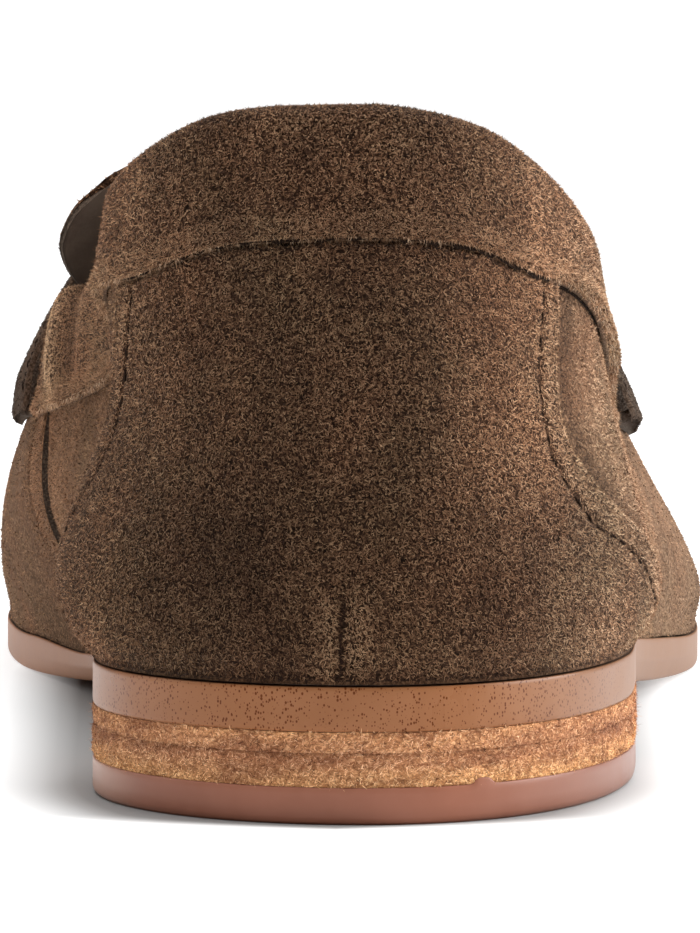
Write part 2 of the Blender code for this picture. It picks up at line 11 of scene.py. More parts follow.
import bpy
import numpy as np
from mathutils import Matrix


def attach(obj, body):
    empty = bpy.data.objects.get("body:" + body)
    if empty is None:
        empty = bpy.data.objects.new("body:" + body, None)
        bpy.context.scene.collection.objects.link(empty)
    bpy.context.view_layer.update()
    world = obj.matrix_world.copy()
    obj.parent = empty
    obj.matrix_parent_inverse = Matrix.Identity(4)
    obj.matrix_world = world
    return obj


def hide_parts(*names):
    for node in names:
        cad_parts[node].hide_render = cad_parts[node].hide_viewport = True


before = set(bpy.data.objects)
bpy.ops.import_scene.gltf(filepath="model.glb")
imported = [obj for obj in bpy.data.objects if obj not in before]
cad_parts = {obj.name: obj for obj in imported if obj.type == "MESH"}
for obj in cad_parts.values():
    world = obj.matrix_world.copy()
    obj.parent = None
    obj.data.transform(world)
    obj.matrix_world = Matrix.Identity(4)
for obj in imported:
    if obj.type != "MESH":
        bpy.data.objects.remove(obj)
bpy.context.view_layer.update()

MM = 0.001
TO_FRAME = np.array([0.15, -145.0, 0.0])

# Driving sizes, as in the solids
GAP = 0.3
WALL = 1.6
SOLE_MARGIN = 0.8
HEEL_LENGTH = 63.0
HEEL_AXIS_DEG = 4.5
TOP_PIECE = 4.3
LOWER_LIFT = 3.9
INSOLE_THICK = 2.2
INSOLE_INSET = 3.1
BAND_THICK = 1.2
COUNTER_THICK = 1.0
COUNTER_LIFT = 0.45
TONGUE_THICK = 1.4
STRAP_THICK = 1.5
STRAP_END_HEIGHT = 37.0
STRAP_END_DROP = 3.0
THROAT_Y = 127.0
BAND_END_Y = 121.0
HANDLE = 0.39
HEEL_ROUND_Y = 42.0
TOE_ROUND_Y = 250.0
TOE_TIP_Y = 292.0
HEEL_FORM_ENDS = (42.0, 122.0)
INSTEP_FORM_ENDS = (130.0, 200.0)
TOE_FAN_START = 214.0
TOE_FAN_PULL = 30.0
TOE_FORM_ENDS = (220.0, 268.0)
RIDGE = 5
TONGUE_LOW_Z = 48.0
TONGUE_LATERAL_FLARE = 0.35
STRAP_REAR_Y = (121.5, 119.8)
STRAP_FRONT_Y = (146.0, 150.0)
STRAP_LIFT = (2.0, 0.5)
STRAP_SETTLES = (0.72, 1.0)
KNOT_SIZE = (13.0, 9.0, 5.0)
KNOT_Y = 139.0
TASSEL_LENGTH = 42.0
TASSEL_START_Y = 144.2
TASSEL_SPREAD = 3.4
TASSEL_SPLAY_DEG = 15.0
TASSEL_LIFT = (5.5, 6.4)
TASSEL_STRIPS = 9
TASSEL_STRIP_DEPTH = 0.16

# Sizes that only the looks need; pairs and fours named ENDS are where something sets in and fades out
PANEL_STITCH_IN = 4.3
STITCH_PITCH = 2.9
STITCH_LENGTH = 2.1
HEM_LIP = 0.85
VAMP_STEP = 0.75
DART_X = -0.9
DART_HEIGHTS = (15.5, 28.0)
DART_LEAN = 0.03
WAIST_DROP = 2.0
WAIST_DROP_ENDS = (54.0, 76.0, 126.0, 156.0)
WAIST_BEVEL_ENDS = (62.0, 82.0, 138.0, 164.0)
HEM_SAG = 1.5
HEM_SAG_ARC = 29.0
HEM_ENDS = (-76.0, 76.0)
HEM_STITCH_ENDS = (-34.0, 34.0)
HEM_OVER_PANEL = (-35.5, 37.0)
HEM_POINTS = 600
BAND_FOLD = 0.9
COLLAR_FLARE = 3.0
COLLAR_FLARE_ENDS = (78.0, 104.0, 115.0, 120.0)
PANEL_FACE = COUNTER_LIFT + COUNTER_THICK
STRAP_STITCH_IN = 2.2
VAMP_NAP_Y = 128.0
WALL_STEP = 0.5


def rows(names, *values):
    Row = namedtuple("Row", names)
    return [Row(*value) for value in values]


OUTLINE = rows(
    "name x y heading",
    ("heel_back", -0.8, 0.0, -HEEL_AXIS_DEG),
    ("heel_lateral", 34.2, 42.0, 90.0 - HEEL_AXIS_DEG),
    ("waist_lateral", 36.0, 98.0, 86.0),
    ("ball_lateral", 49.2, 180.0, 91.0),
    ("toe_lateral", 22.0, 276.0, 130.0),
    ("toe_tip", -9.0, 292.0, 180.0),
    ("toe_medial", -36.5, 268.0, 240.0),
    ("ball_medial", -49.2, 192.0, 270.0),
    ("waist_medial", -28.8, 92.0, 275.0),
    ("heel_medial", -30.4, 34.0, 270.0 - HEEL_AXIS_DEG),
)
BOTTOM = rows(
    "y top thick",
    (0.0, 15.8, 5.2), (48.0, 15.6, 5.2), (80.0, 13.2, 5.5), (130.0, 7.4, 5.7),
    (166.0, 4.8, 4.8), (206.0, 4.8, 4.8), (250.0, 7.7, 4.6), (292.0, 13.4, 4.4),
)
HEEL_LEVELS = rows(
    "name up medial lateral back",
    ("feather", 0.0, 0.0, 0.0, 0.0),
    ("body", 9.0, 3.6, 2.5, 1.4),
    ("flank", 28.5, -1.4, -2.2, 0.2),
    ("shoulder", 43.0, -1.3, -4.8, -2.6),
    ("crown", 54.0, -2.4, -6.4, -5.2),
    ("top", 66.0, -5.0, -9.5, -8.5),
)
BODY = rows(
    "y medial medial_z lateral lateral_z ridge_x ridge_z",
    (50.0, 3.0, 26.0, 0.9, 25.0, -0.5, 88.0),
    (95.0, 7.4, 27.0, 0.4, 25.0, -2.5, 77.0),
    (120.0, 8.0, 27.0, 0.0, 22.0, -4.0, 71.0),
    (145.0, 5.4, 22.0, 0.2, 15.5, -5.0, 61.5),
    (180.0, 0.8, 14.0, 0.3, 10.0, -6.5, 48.5),
    (215.0, 0.5, 12.5, 0.4, 10.5, -8.0, 39.5),
    (245.0, 0.4, 14.0, 0.4, 13.0, -9.0, 34.0),
    (264.0, 0.2, 15.0, 0.2, 15.0, -9.0, 30.5),
)
SECTION_LEVELS = rows(
    "name up instep_medial instep_lateral fore_medial fore_lateral",
    ("body", 0.0, 1.0, 1.0, 1.0, 1.0),
    ("flank", 0.35, 0.94, 0.86, 0.93, 0.885),
    ("shoulder", 0.68, 0.75, 0.70, 0.77, 0.72),
    ("crown", 0.90, 0.50, 0.46, 0.47, 0.44),
    ("ridge", 1.0, 0.0, 0.0, 0.0, 0.0),
)
COLLAR = rows(
    "y medial lateral hem_medial hem_lateral",
    (0.0, 81.9, 81.9, 66.2, 66.2),
    (7.0, 80.8, 79.6, 65.2, 65.0),
    (18.0, 76.4, 75.0, 62.2, 61.8),
    (36.0, 69.8, 67.8, 57.6, 56.4),
    (62.0, 64.0, 61.0, 50.6, 48.0),
    (95.0, 58.6, 55.6, 42.4, 40.0),
    (120.0, 53.4, 51.0, 37.8, 36.4),
)
COUNTER = rows(
    "height medial lateral",
    (15.0, 69.0, 69.0), (21.0, 64.0, 66.0), (25.5, 57.5, 58.5), (28.5, 53.5, 53.0), (31.0, 50.4, 48.2),
    (33.7, 47.6, 42.4), (36.5, 44.8, 37.9), (39.5, 41.8, 34.5), (42.7, 39.4, 32.2), (46.0, 37.8, 31.6),
    (49.0, 36.8, 31.9), (54.0, 36.0, 34.0), (58.5, 35.6, 36.0), (66.0, 36.0, 37.6),
)
TONGUE = rows(
    "y reach flare",
    (103.4, 0.36, 3.4), (104.6, 0.56, 7.0), (106.6, 0.68, 8.2), (109.4, 0.76, 7.6), (112.5, 0.80, 6.0),
    (116.0, 0.83, 3.4), (118.6, 0.85, 0.7), (121.5, 0.88, 0.0), (130.0, 1.0, 0.0), (137.0, 1.0, 0.0),
)
TASSEL = rows(
    "along radius cut",
    (0.00, 1.3, 0.0), (0.15, 1.3, 0.0), (0.18, 2.8, 0.0), (0.25, 4.0, 0.0), (0.35, 4.4, 0.0),
    (0.41, 4.2, 0.0), (0.44, 3.8, 0.5), (0.60, 4.5, 1.0), (0.82, 5.2, 1.0), (1.00, 5.6, 1.0),
)
# Rear edge of the vamp where it lies over the quarter
SEAM = rows("height y", (10.0, 110.0), (20.0, 111.5), (28.0, 113.0), (36.0, 115.0), (46.0, 117.5))


# Curves and fields

def curve(table, key, column):
    """Monotone cubic through one named column of a table, held level past both ends."""
    xs = np.array([getattr(row, key) for row in table])
    ys = np.array([getattr(row, column) for row in table])
    steps = np.diff(xs)
    slopes = np.diff(ys) / steps
    tangents = np.concatenate([slopes[:1], np.zeros(len(xs) - 2), slopes[-1:]])
    for i in range(1, len(xs) - 1):
        if slopes[i - 1] * slopes[i] > 0:
            tangents[i] = 2.0 / (1.0 / slopes[i - 1] + 1.0 / slopes[i])

    def value(at):
        at = np.clip(at, xs[0], xs[-1])
        i = np.minimum(np.searchsorted(xs, at, side="right") - 1, len(steps) - 1)
        u = (at - xs[i]) / steps[i]
        rise = (3.0 - 2.0 * u) * u * u
        bend = u * (1.0 - u) * steps[i]
        return ys[i] + (ys[i + 1] - ys[i]) * rise + bend * ((1.0 - u) * tangents[i] - u * tangents[i + 1])

    return value


def smoothstep(start, end, at):
    u = np.clip((np.asarray(at, float) - start) / (end - start), 0.0, 1.0)
    return u * u * (3.0 - 2.0 * u)


def window(at, rise_start, rise_end, fall_start, fall_end):
    """1 between two soft steps and 0 outside them."""
    return smoothstep(rise_start, rise_end, at) * (1.0 - smoothstep(fall_start, fall_end, at))


def bell(offset, width):
    return np.exp(-((offset / width) ** 2))


def mix(first, second, share):
    return first + (second - first) * share


def unit(vectors):
    return vectors / np.maximum(np.linalg.norm(vectors, axis=-1, keepdims=True), 1e-9)


def lump(points, size, seed):
    """Smooth random field over points, about -1 to 1, with features of one size."""
    cell = np.floor(points / size)
    part = points / size - cell
    part = part * part * (3.0 - 2.0 * part)
    total = 0.0
    for corner in itertools.product((0, 1), repeat=3):
        at = cell + np.array(corner)
        noise = np.sin(at @ np.array([127.1, 311.7, 74.7]) + seed * 19.19) * 43758.5453
        share = np.prod(np.where(np.array(corner) == 1, part, 1.0 - part), axis=-1)
        total = total + (2.0 * (noise - np.floor(noise)) - 1.0) * share
    return total


def ragged(arc, size, seed):
    """Random field along the outline."""
    return lump(np.stack([arc, 0.0 * arc, 0.0 * arc], axis=-1), size, seed)


def bilinear(grid, i, j, u, v):
    return mix(mix(grid[i, j], grid[i + 1, j], u), mix(grid[i, j + 1], grid[i + 1, j + 1], u), v)


def crowded(count, power):
    """Shares from 0 to 1, closer together towards both ends."""
    return mix(np.linspace(0.0, 1.0, count), 0.5 - 0.5 * np.cos(np.linspace(0.0, math.pi, count)), power)


def lengths_along(points):
    return np.concatenate([[0.0], np.cumsum(np.linalg.norm(np.diff(points, axis=0), axis=1))])


def by_side(side, medial, lateral):
    return np.where(side < 0, medial, lateral)


# The last

def outline_tables(per_segment=240):
    points = []
    for node, after in zip(OUTLINE, OUTLINE[1:] + OUTLINE[:1]):
        start, end = np.array([node.x, node.y]), np.array([after.x, after.y])
        reach = HANDLE * np.linalg.norm(end - start)
        leave, arrive = math.radians(node.heading), math.radians(after.heading)
        first = start + reach * np.array([math.cos(leave), math.sin(leave)])
        second = end - reach * np.array([math.cos(arrive), math.sin(arrive)])
        for u in np.arange(per_segment) / per_segment:
            v = 1.0 - u
            points.append(v**3 * start + 3 * v * v * u * first + 3 * v * u * u * second + u**3 * end)
    loop = np.array(points + points[:1])
    arc = lengths_along(loop)
    tip = int(np.argmax(loop[:, 1]))
    return np.concatenate([arc[tip:] - arc[-1], arc[1 : tip + 1]]), np.vstack([loop[tip:], loop[1 : tip + 1]])


EDGE_ARC, EDGE_POINT = outline_tables()
MEDIAL, LATERAL = -1, 1
sole_top = curve(BOTTOM, "y", "top")
sole_thick = curve(BOTTOM, "y", "thick")
body_value = {name: curve(BODY, "y", name) for name in BODY[0]._fields[1:]}
collar_value = {name: curve(COLLAR, "y", name) for name in COLLAR[0]._fields[1:]}
counter_value = {name: curve(COUNTER, "height", name) for name in COUNTER[0]._fields[1:]}
seam_y = curve(SEAM, "height", "y")


def sole_bottom(y):
    return sole_top(y) - sole_thick(y)


def counter_reach(height, side):
    return by_side(side, counter_value["medial"](height), counter_value["lateral"](height))


def waist_drop(x, y):
    """How far the sole's edge is pared down from above in the medial waist."""
    return WAIST_DROP * window(y, *WAIST_DROP_ENDS) * (x < 0)


def outline_point(arc):
    return np.stack([np.interp(arc, EDGE_ARC, EDGE_POINT[:, i]) for i in (0, 1)], axis=-1)


def outline_normal(arc, step=1.5):
    arc = np.asarray(arc, float)
    low, high = np.maximum(arc - step, EDGE_ARC[0]), np.minimum(arc + step, EDGE_ARC[-1])
    along = outline_point(high) - outline_point(low)
    at_tip = (arc - step < EDGE_ARC[0]) | (arc + step > EDGE_ARC[-1])
    along = unit(np.where(at_tip[..., None], np.array([-1.0, 0.0]), along))
    return np.stack([along[..., 1], -along[..., 0]], axis=-1)


def arc_at(side, y):
    part = EDGE_ARC * side >= 0
    arcs, ys = EDGE_ARC[part], EDGE_POINT[part, 1]
    if side == MEDIAL:
        arcs, ys = arcs[::-1], ys[::-1]
    return np.interp(y, np.maximum.accumulate(ys), arcs)


def inset_point(arc, inset):
    return outline_point(arc) - outline_normal(arc) * inset


def ridge_point(y):
    fan = np.maximum(0.0, (y - TOE_FAN_START) / (TOE_TIP_Y - TOE_FAN_START))
    y = y - TOE_FAN_PULL * fan * fan
    return np.stack([body_value["ridge_x"](y), y, body_value["ridge_z"](y)], axis=-1)


def heel_form(arc, feather):
    out = outline_normal(arc)
    tilt = math.radians(HEEL_AXIS_DEG)
    backness = np.maximum(0.0, out @ np.array([-math.sin(tilt), -math.cos(tilt)])) ** 2
    levels = []
    for level in HEEL_LEVELS:
        reach = mix(by_side(arc, level.medial, level.lateral), level.back, backness)
        levels.append(np.column_stack([feather[:, :2] + out * reach[:, None], feather[:, 2] + level.up]))
    return np.stack(levels, axis=1)


def fore_form(arc, feather):
    y = feather[:, 1]
    ridge = ridge_point(y)
    toe = smoothstep(*TOE_FORM_ENDS, y)
    reach = by_side(arc, body_value["medial"](y), body_value["lateral"](y))
    edge = outline_point(arc)
    wide = np.column_stack([edge[:, 0] + np.where(arc > 0, reach, -reach), y])
    round_toe = edge + outline_normal(arc) * reach[:, None]
    body = mix(wide, round_toe, toe[:, None])
    body_z = by_side(arc, body_value["medial_z"](y), body_value["lateral_z"](y))
    fore = smoothstep(*INSTEP_FORM_ENDS, y)
    levels = [feather]
    for level in SECTION_LEVELS:
        share = mix(by_side(arc, level.instep_medial, level.instep_lateral),
                    by_side(arc, level.fore_medial, level.fore_lateral), fore)
        share = mix(share, (level.fore_medial + level.fore_lateral) / 2.0, toe)
        plan = mix(ridge[:, :2], body, share[:, None])
        levels.append(np.column_stack([plan, mix(body_z, ridge[:, 2], level.up)]))
    return np.stack(levels, axis=1)


def wall_columns(arc):
    """Control points, tangents and spans of the smooth curves up the wall at places on the outline."""
    arc = np.atleast_1d(np.asarray(arc, float))
    plan = inset_point(arc, SOLE_MARGIN)
    feather = np.column_stack([plan, sole_top(plan[:, 1]) + GAP])
    share = smoothstep(*HEEL_FORM_ENDS, plan[:, 1])[:, None, None]
    points = mix(heel_form(arc, feather), fore_form(arc, feather), share)
    steps = np.diff(points, axis=1)
    spans = np.sqrt(np.linalg.norm(steps, axis=2, keepdims=True))
    rates = steps / spans
    tangents = np.empty_like(points)
    before, after = spans[:, :-1], spans[:, 1:]
    tangents[:, 1:-1] = (rates[:, :-1] * after + rates[:, 1:] * before) / (before + after)
    tangents[:, 0] = rates[:, 0]
    tangents[:, -1] = rates[:, -1] * mix(np.ones(3), np.array([1.35, 1.35, 0.0]), share[:, 0])
    return points, tangents, spans


def on_wall(columns, levels):
    """Points at levels (columns, levels) of wall columns."""
    points, tangents, spans = columns
    i = np.minimum(levels.astype(int), RIDGE - 1)
    u = (levels - i)[..., None]
    n = np.arange(len(points))[:, None]
    rise = (3.0 - 2.0 * u) * u * u
    bend = u * (1.0 - u) * spans[n, i]
    return mix(points[n, i], points[n, i + 1], rise) + bend * ((1.0 - u) * tangents[n, i] - u * tangents[n, i + 1])


def level_at(columns, heights):
    """Levels at which wall columns reach heights (columns, heights)."""
    levels = np.linspace(0.0, RIDGE, 241)
    line = on_wall(columns, np.tile(levels, (len(columns[0]), 1)))[..., 2]
    line = np.maximum.accumulate(line, axis=1)
    return np.array([np.interp(height, heights_here, levels) for height, heights_here in zip(heights, line)])


def wall_points(arc, height):
    """Points of the wall at places on the outline and heights."""
    columns = wall_columns(arc)
    return on_wall(columns, level_at(columns, height[:, None]))[:, 0]


def collar_height(arc, hem=False):
    """Height of the top line, or of the band's hem."""
    y = outline_point(arc)[..., 1]
    name = "hem_" if hem else ""
    height = by_side(arc, collar_value[name + "medial"](y), collar_value[name + "lateral"](y))
    return height - (HEM_SAG * bell(np.abs(arc) - HEM_SAG_ARC, 10.0) if hem else 0.0)


RIM = WALL / 2.0 + GAP


def edge_level(arc, columns):
    y = outline_point(arc)[:, 1]
    top = level_at(columns, (collar_height(arc) - RIM - BAND_THICK)[:, None])[:, 0]
    return np.where(y >= THROAT_Y, RIDGE, mix(top, RIDGE, smoothstep(BAND_END_Y, THROAT_Y, y)))


def heel_to_toe(count_heel, count_side, count_toe, end_y=TOE_TIP_Y):
    turns = np.linspace(0.0, math.pi / 2.0, count_heel, endpoint=False)
    heel = HEEL_ROUND_Y * (1.0 - np.cos(turns))
    side = np.linspace(HEEL_ROUND_Y, TOE_ROUND_Y, count_side, endpoint=False)
    toe = mix(TOE_ROUND_Y, TOE_TIP_Y, np.sin(np.linspace(0.0, math.pi / 2.0, count_toe)))
    stations = np.concatenate([heel, side, toe])
    return stations[stations <= end_y]


def both_sides(stations):
    return np.concatenate([arc_at(MEDIAL, stations[::-1]), arc_at(LATERAL, stations[1:])])


class WallMap:
    """Points of the heel's wall against place on the outline and height."""

    def __init__(self):
        self.arcs = np.linspace(-78.0, 78.0, 625)
        self.heights = np.linspace(14.0, 86.0, 289)
        columns = wall_columns(self.arcs)
        levels = level_at(columns, np.tile(self.heights, (len(self.arcs), 1)))
        self.points = on_wall(columns, levels)

    def __call__(self, arc, height):
        s = np.clip((arc - self.arcs[0]) / (self.arcs[1] - self.arcs[0]), 0, len(self.arcs) - 1.001)
        t = np.clip((height - self.heights[0]) / (self.heights[1] - self.heights[0]), 0, len(self.heights) - 1.001)
        i, j = s.astype(int), t.astype(int)
        return bilinear(self.points, i, j, (s - i)[..., None], (t - j)[..., None])


heel_wall = WallMap()


def off_heel_wall(arc, height, lift):
    """Points off the heel's wall by lift, and the directions off it."""
    up = heel_wall(arc, height + WALL_STEP) - heel_wall(arc, height - WALL_STEP)
    along = heel_wall(arc + WALL_STEP, height) - heel_wall(arc - WALL_STEP, height)
    normal = unit(np.cross(along, up))
    return heel_wall(arc, height) + lift * normal, normal


def grid_normals(grid):
    return unit(np.cross(np.gradient(grid, axis=0), np.gradient(grid, axis=1)))


def border_distances(grid):
    """Distances along the grid's lines to its first and last column and its first and last row."""
    across = np.linalg.norm(np.diff(grid, axis=0), axis=2)
    up = np.linalg.norm(np.diff(grid, axis=1), axis=2)
    across = np.concatenate([np.zeros((1, grid.shape[1])), np.cumsum(across, axis=0)])
    up = np.concatenate([np.zeros((grid.shape[0], 1)), np.cumsum(up, axis=1)], axis=1)
    return across, across[-1:] - across, up, up[:, -1:] - up


def cut_edge(distance, radius=0.6, least=0.55):
    """Share of a sheet's thickness near a cut edge."""
    u = np.clip(distance / radius, 0.0, 1.0)
    return least + (1.0 - least) * np.sqrt(u * (2.0 - u))


# Materials

def add(tree, kind, inputs=None, **settings):
    node = tree.nodes.new("ShaderNode" + kind)
    for name, value in settings.items():
        setattr(node, name, value)
    for name, value in (inputs or {}).items():
        if isinstance(value, bpy.types.NodeSocket):
            tree.links.new(value, node.inputs[name])
        else:
            node.inputs[name].default_value = value
    return node


class Finish:
    """A principled material with noise sources in the shoe's own coordinates."""

    def __init__(self, name, colour, roughness, **constants):
        self.material = bpy.data.materials.new(name)
        self.material.use_nodes = True
        self.material.diffuse_color = (*colour, 1.0)
        self.tree = self.material.node_tree
        self.shader = self.tree.nodes["Principled BSDF"]
        self.set("Base Color", (*colour, 1.0))
        self.set("Roughness", roughness)
        for socket, value in constants.items():
            self.set(socket.replace("_", " "), value)
        self.place = add(self.tree, "TexCoord").outputs["Object"]
        self.axes = add(self.tree, "SeparateXYZ", {"Vector": self.place}).outputs

    def set(self, socket, value):
        self.shader.inputs[socket].default_value = value

    def drive(self, socket, source):
        self.tree.links.new(source, self.shader.inputs[socket])

    def ramp(self, factor, *stops):
        """Colour along a factor; a stop is a position and a colour, or one number for a grey."""
        node = add(self.tree, "ValToRGB", {"Fac": factor})
        elements = node.color_ramp.elements
        while len(elements) < len(stops):
            elements.new(0.5)
        for element, (position, colour) in zip(elements, stops):
            element.position = position
            element.color = (*np.broadcast_to(colour, 3), 1.0)
        return node.outputs["Color"]

    def blend(self, factor, first, second, kind="MIX"):
        inputs = {"Fac": factor, "Color1": first, "Color2": second}
        return add(self.tree, "MixRGB", inputs, blend_type=kind).outputs["Color"]

    def times(self, first, second, factor=1.0):
        return self.blend(factor, first, second, "MULTIPLY")

    def math(self, operation, *terms):
        return add(self.tree, "Math", dict(enumerate(terms)), operation=operation).outputs["Value"]

    def span(self, value, start, end, low=0.0, high=1.0):
        """A value from start to end carried to low to high, and held past both ends."""
        inputs = {"Value": value, "From Min": start, "From Max": end, "To Min": low, "To Max": high}
        return add(self.tree, "MapRange", inputs).outputs["Result"]

    def stretched(self, scale):
        return add(self.tree, "Mapping", {"Vector": self.place, "Scale": scale}).outputs["Vector"]

    def noise(self, size, detail=2.0, roughness=0.5, distortion=0.0, place=None):
        """Noise with features of one size in millimetres."""
        inputs = {"Vector": place or self.place, "Scale": 1.0 / (size * MM), "Detail": detail,
                  "Roughness": roughness, "Distortion": distortion}
        return add(self.tree, "TexNoise", inputs).outputs["Fac"]

    def cells(self, size, place=None):
        return add(self.tree, "TexVoronoi", {"Vector": place or self.place, "Scale": 1.0 / (size * MM)})

    def bump(self, height, strength, depth, under=None):
        inputs = {"Height": height, "Strength": strength, "Distance": depth * MM}
        if under is not None:
            inputs["Normal"] = under
        return add(self.tree, "Bump", inputs).outputs["Normal"]


def nap_patches_and_painted_light(finish):
    """Tint of the brushed nap: faint blotches and streaks brushed downwards, times painted light and shade round the
    heel and ahead of it.
    """
    patches_and_painted_light = finish.noise(16.0, 2.0, 0.5, 0.6)
    streaks = finish.noise(5.0, 3.0, 0.55, 0.3, finish.stretched((1.0, 1.0, 0.3)))
    clouds = finish.noise(26.0, 2.0, 0.5, 0.5, finish.stretched((1.0, 1.0, 0.6)))
    tint = finish.ramp(patches_and_painted_light, (0.36, (1.02, 0.96, 0.92)), (0.50, (1.0, 0.99, 0.97)), (0.66, (0.98, 1.01, 0.98)))
    tint = finish.times(tint, finish.ramp(streaks, (0.32, 0.86), (0.68, 1.15)))
    tint = finish.times(tint, finish.ramp(clouds, (0.36, 0.84), (0.64, 1.16)))
    across = finish.span(finish.axes["X"], -0.05, 0.05)
    ahead = finish.span(finish.axes["Y"], -0.09, -0.01)
    up = finish.span(finish.axes["Z"], 0.01, 0.085)
    # Painted light: the heel's sides much lighter than its middle, standing in for side light and sheen.
    nap_lie_and_painted_light = finish.ramp(across, (0.08, (1.84, 1.87, 1.90)), (0.20, (1.72, 1.74, 1.76)), (0.27, (1.25, 1.26, 1.27)),
                      (0.34, 0.98), (0.45, 0.94), (0.60, 0.88), (0.66, (1.52, 1.53, 1.55)), (0.72, (1.92, 2.00, 2.08)),
                      (0.80, (2.10, 2.30, 2.48)), (0.95, (2.16, 2.44, 2.72)))
    # Painted shade: darker low on the heel's rounded sides.
    low_side_shade = finish.ramp(across, (0.10, 0.92), (0.20, 0.82), (0.27, 0.55), (0.34, 0.60), (0.40, 0.65), (0.46, 0.96),
                            (0.60, 0.96), (0.65, 0.52), (0.72, 0.44), (0.78, 0.74), (0.86, 1.0))
    nap_lie_and_painted_light = finish.times(nap_lie_and_painted_light, low_side_shade, finish.span(finish.axes["Z"], 0.044, 0.033))
    # Painted shade near the top line, mostly at the sides, with a little painted light.
    top_side_shade = finish.ramp(across, (0.20, 0.92), (0.33, 0.85), (0.39, 1.1), (0.50, 1.0), (0.60, 0.82), (0.66, 0.68),
                            (0.72, 0.88), (0.80, 1.0))
    nap_lie_and_painted_light = finish.times(nap_lie_and_painted_light, top_side_shade, finish.span(finish.axes["Z"], 0.062, 0.068))
    # Painted light: lighter at the heel's foot and towards its top.
    nap_lie_and_painted_light = finish.times(nap_lie_and_painted_light, finish.ramp(up, (0.06, 1.34), (0.24, 1.06), (0.40, 1.0), (0.66, 1.0), (0.80, 1.2)))
    # Ahead of the heel, painted light all over, greyer towards the lateral side as painted sheen.
    front = finish.ramp(across, (0.35, (1.84, 1.92, 1.96)), (0.85, (1.80, 2.08, 2.32)))
    return finish.times(tint, finish.blend(ahead, nap_lie_and_painted_light, front))


def suede_finish(name, dark, middle, light, grain=0.42):
    finish = Finish(name, middle, 0.95, Specular_IOR_Level=0.06, Sheen_Weight=0.06, Sheen_Roughness=0.45,
                    Sheen_Tint=(0.85, 0.58, 0.40, 1.0))
    fine = finish.noise(grain, 3.0, 0.62)
    brushed = finish.noise(2.6, 3.0, 0.6, 0.4)
    colour = finish.ramp(fine, (0.32, dark), (0.50, middle), (0.68, light))
    colour = finish.times(colour, finish.ramp(brushed, (0.3, 0.66), (0.7, 1.25)), 0.55)
    finish.drive("Base Color", finish.times(colour, nap_patches_and_painted_light(finish)))
    finish.drive("Normal", finish.bump(fine, 0.75, 0.30, finish.bump(brushed, 0.35, 0.6)))
    return finish.material


def fibre_finish(name, dark, middle, light, sheen, patches_and_painted_light):
    finish = Finish(name, middle, 0.8, Specular_IOR_Level=0.10, Sheen_Weight=sheen, Sheen_Roughness=0.4,
                    Sheen_Tint=(0.95, 0.84, 0.74, 1.0))
    tone = add(finish.tree, "Attribute", attribute_name="tone").outputs["Fac"]
    colour = finish.ramp(tone, (0.03, dark), (0.5, middle), (0.97, light))
    finish.drive("Base Color", finish.times(colour, patches_and_painted_light(finish)))
    return finish.material


def lining_finish(name, colour, light):
    finish = Finish(name, colour, 0.55, Specular_IOR_Level=0.3)
    pores = finish.cells(0.7).outputs["Distance"]
    cloud = finish.noise(6.0, 3.0, 0.55)
    finish.drive("Base Color", finish.ramp(cloud, (0.35, colour), (0.7, light)))
    finish.drive("Roughness", finish.ramp(cloud, (0.3, 0.48), (0.7, 0.66)))
    finish.drive("Normal", finish.bump(pores, 0.25, 0.12))
    return finish.material


def painted_side_light(finish, medial=1.0):
    """Painted shade and sheen: a duller, greyer tone towards the lateral side of the heel; a medial value above 1
    paints a pale reflection on the medial side.
    """
    share = finish.span(finish.axes["X"], -0.036, 0.036)
    return finish.ramp(share, (0.07, medial), (0.17, 1.0), (0.67, 1.0), (1.0, (0.66, 0.74, 0.80)))


def polish(finish, low, high):
    """Gloss that is worn at the middle of the heel and full at its two sides."""
    away = finish.math("ABSOLUTE", finish.axes["X"])
    finish.drive("Specular IOR Level", finish.span(away, 0.012, 0.030, low, high))


def sole_edge_finish():
    base, light = (0.298, 0.118, 0.0465), (0.334, 0.139, 0.060)
    finish = Finish("sole_edge_leather", base, 0.28, Specular_IOR_Level=0.34)
    cloud = finish.noise(9.0, 3.0, 0.6, 0.5)
    colour = finish.ramp(cloud, (0.32, base), (0.7, light))
    dots = finish.cells(0.31, finish.stretched((1.0, 1.0, 0.75)))
    chance = add(finish.tree, "SeparateColor", {"Color": dots.outputs["Color"]}).outputs["Red"]
    spread = finish.ramp(finish.noise(9.0, 2.0, 0.6), (0.32, 0.5), (0.52, 1.0))
    near = finish.span(finish.axes["Y"], -0.128, -0.105, 1.0, 0.35)
    reach = finish.math("MULTIPLY", chance, finish.math("MULTIPLY", spread, near))
    inside = finish.math("MULTIPLY_ADD", reach, 0.46, -0.05)
    size = finish.math("SUBTRACT", dots.outputs["Distance"], inside)
    specks = finish.ramp(size, (0.0, (0.42, 0.23, 0.06)), (0.13, 1.0))
    # Painted shade and grey sheen towards the lateral side of the sole's edge.
    colour = finish.times(colour, painted_side_light(finish))
    finish.drive("Base Color", finish.times(colour, specks))
    polish(finish, 0.15, 0.42)
    gloss = finish.ramp(cloud, (0.3, 0.25), (0.7, 0.36))
    finish.drive("Roughness", finish.blend(near, (0.55, 0.55, 0.55, 1.0), gloss))
    finish.drive("Normal", finish.bump(finish.noise(4.0, 2.0), 0.08, 0.4))
    return finish.material


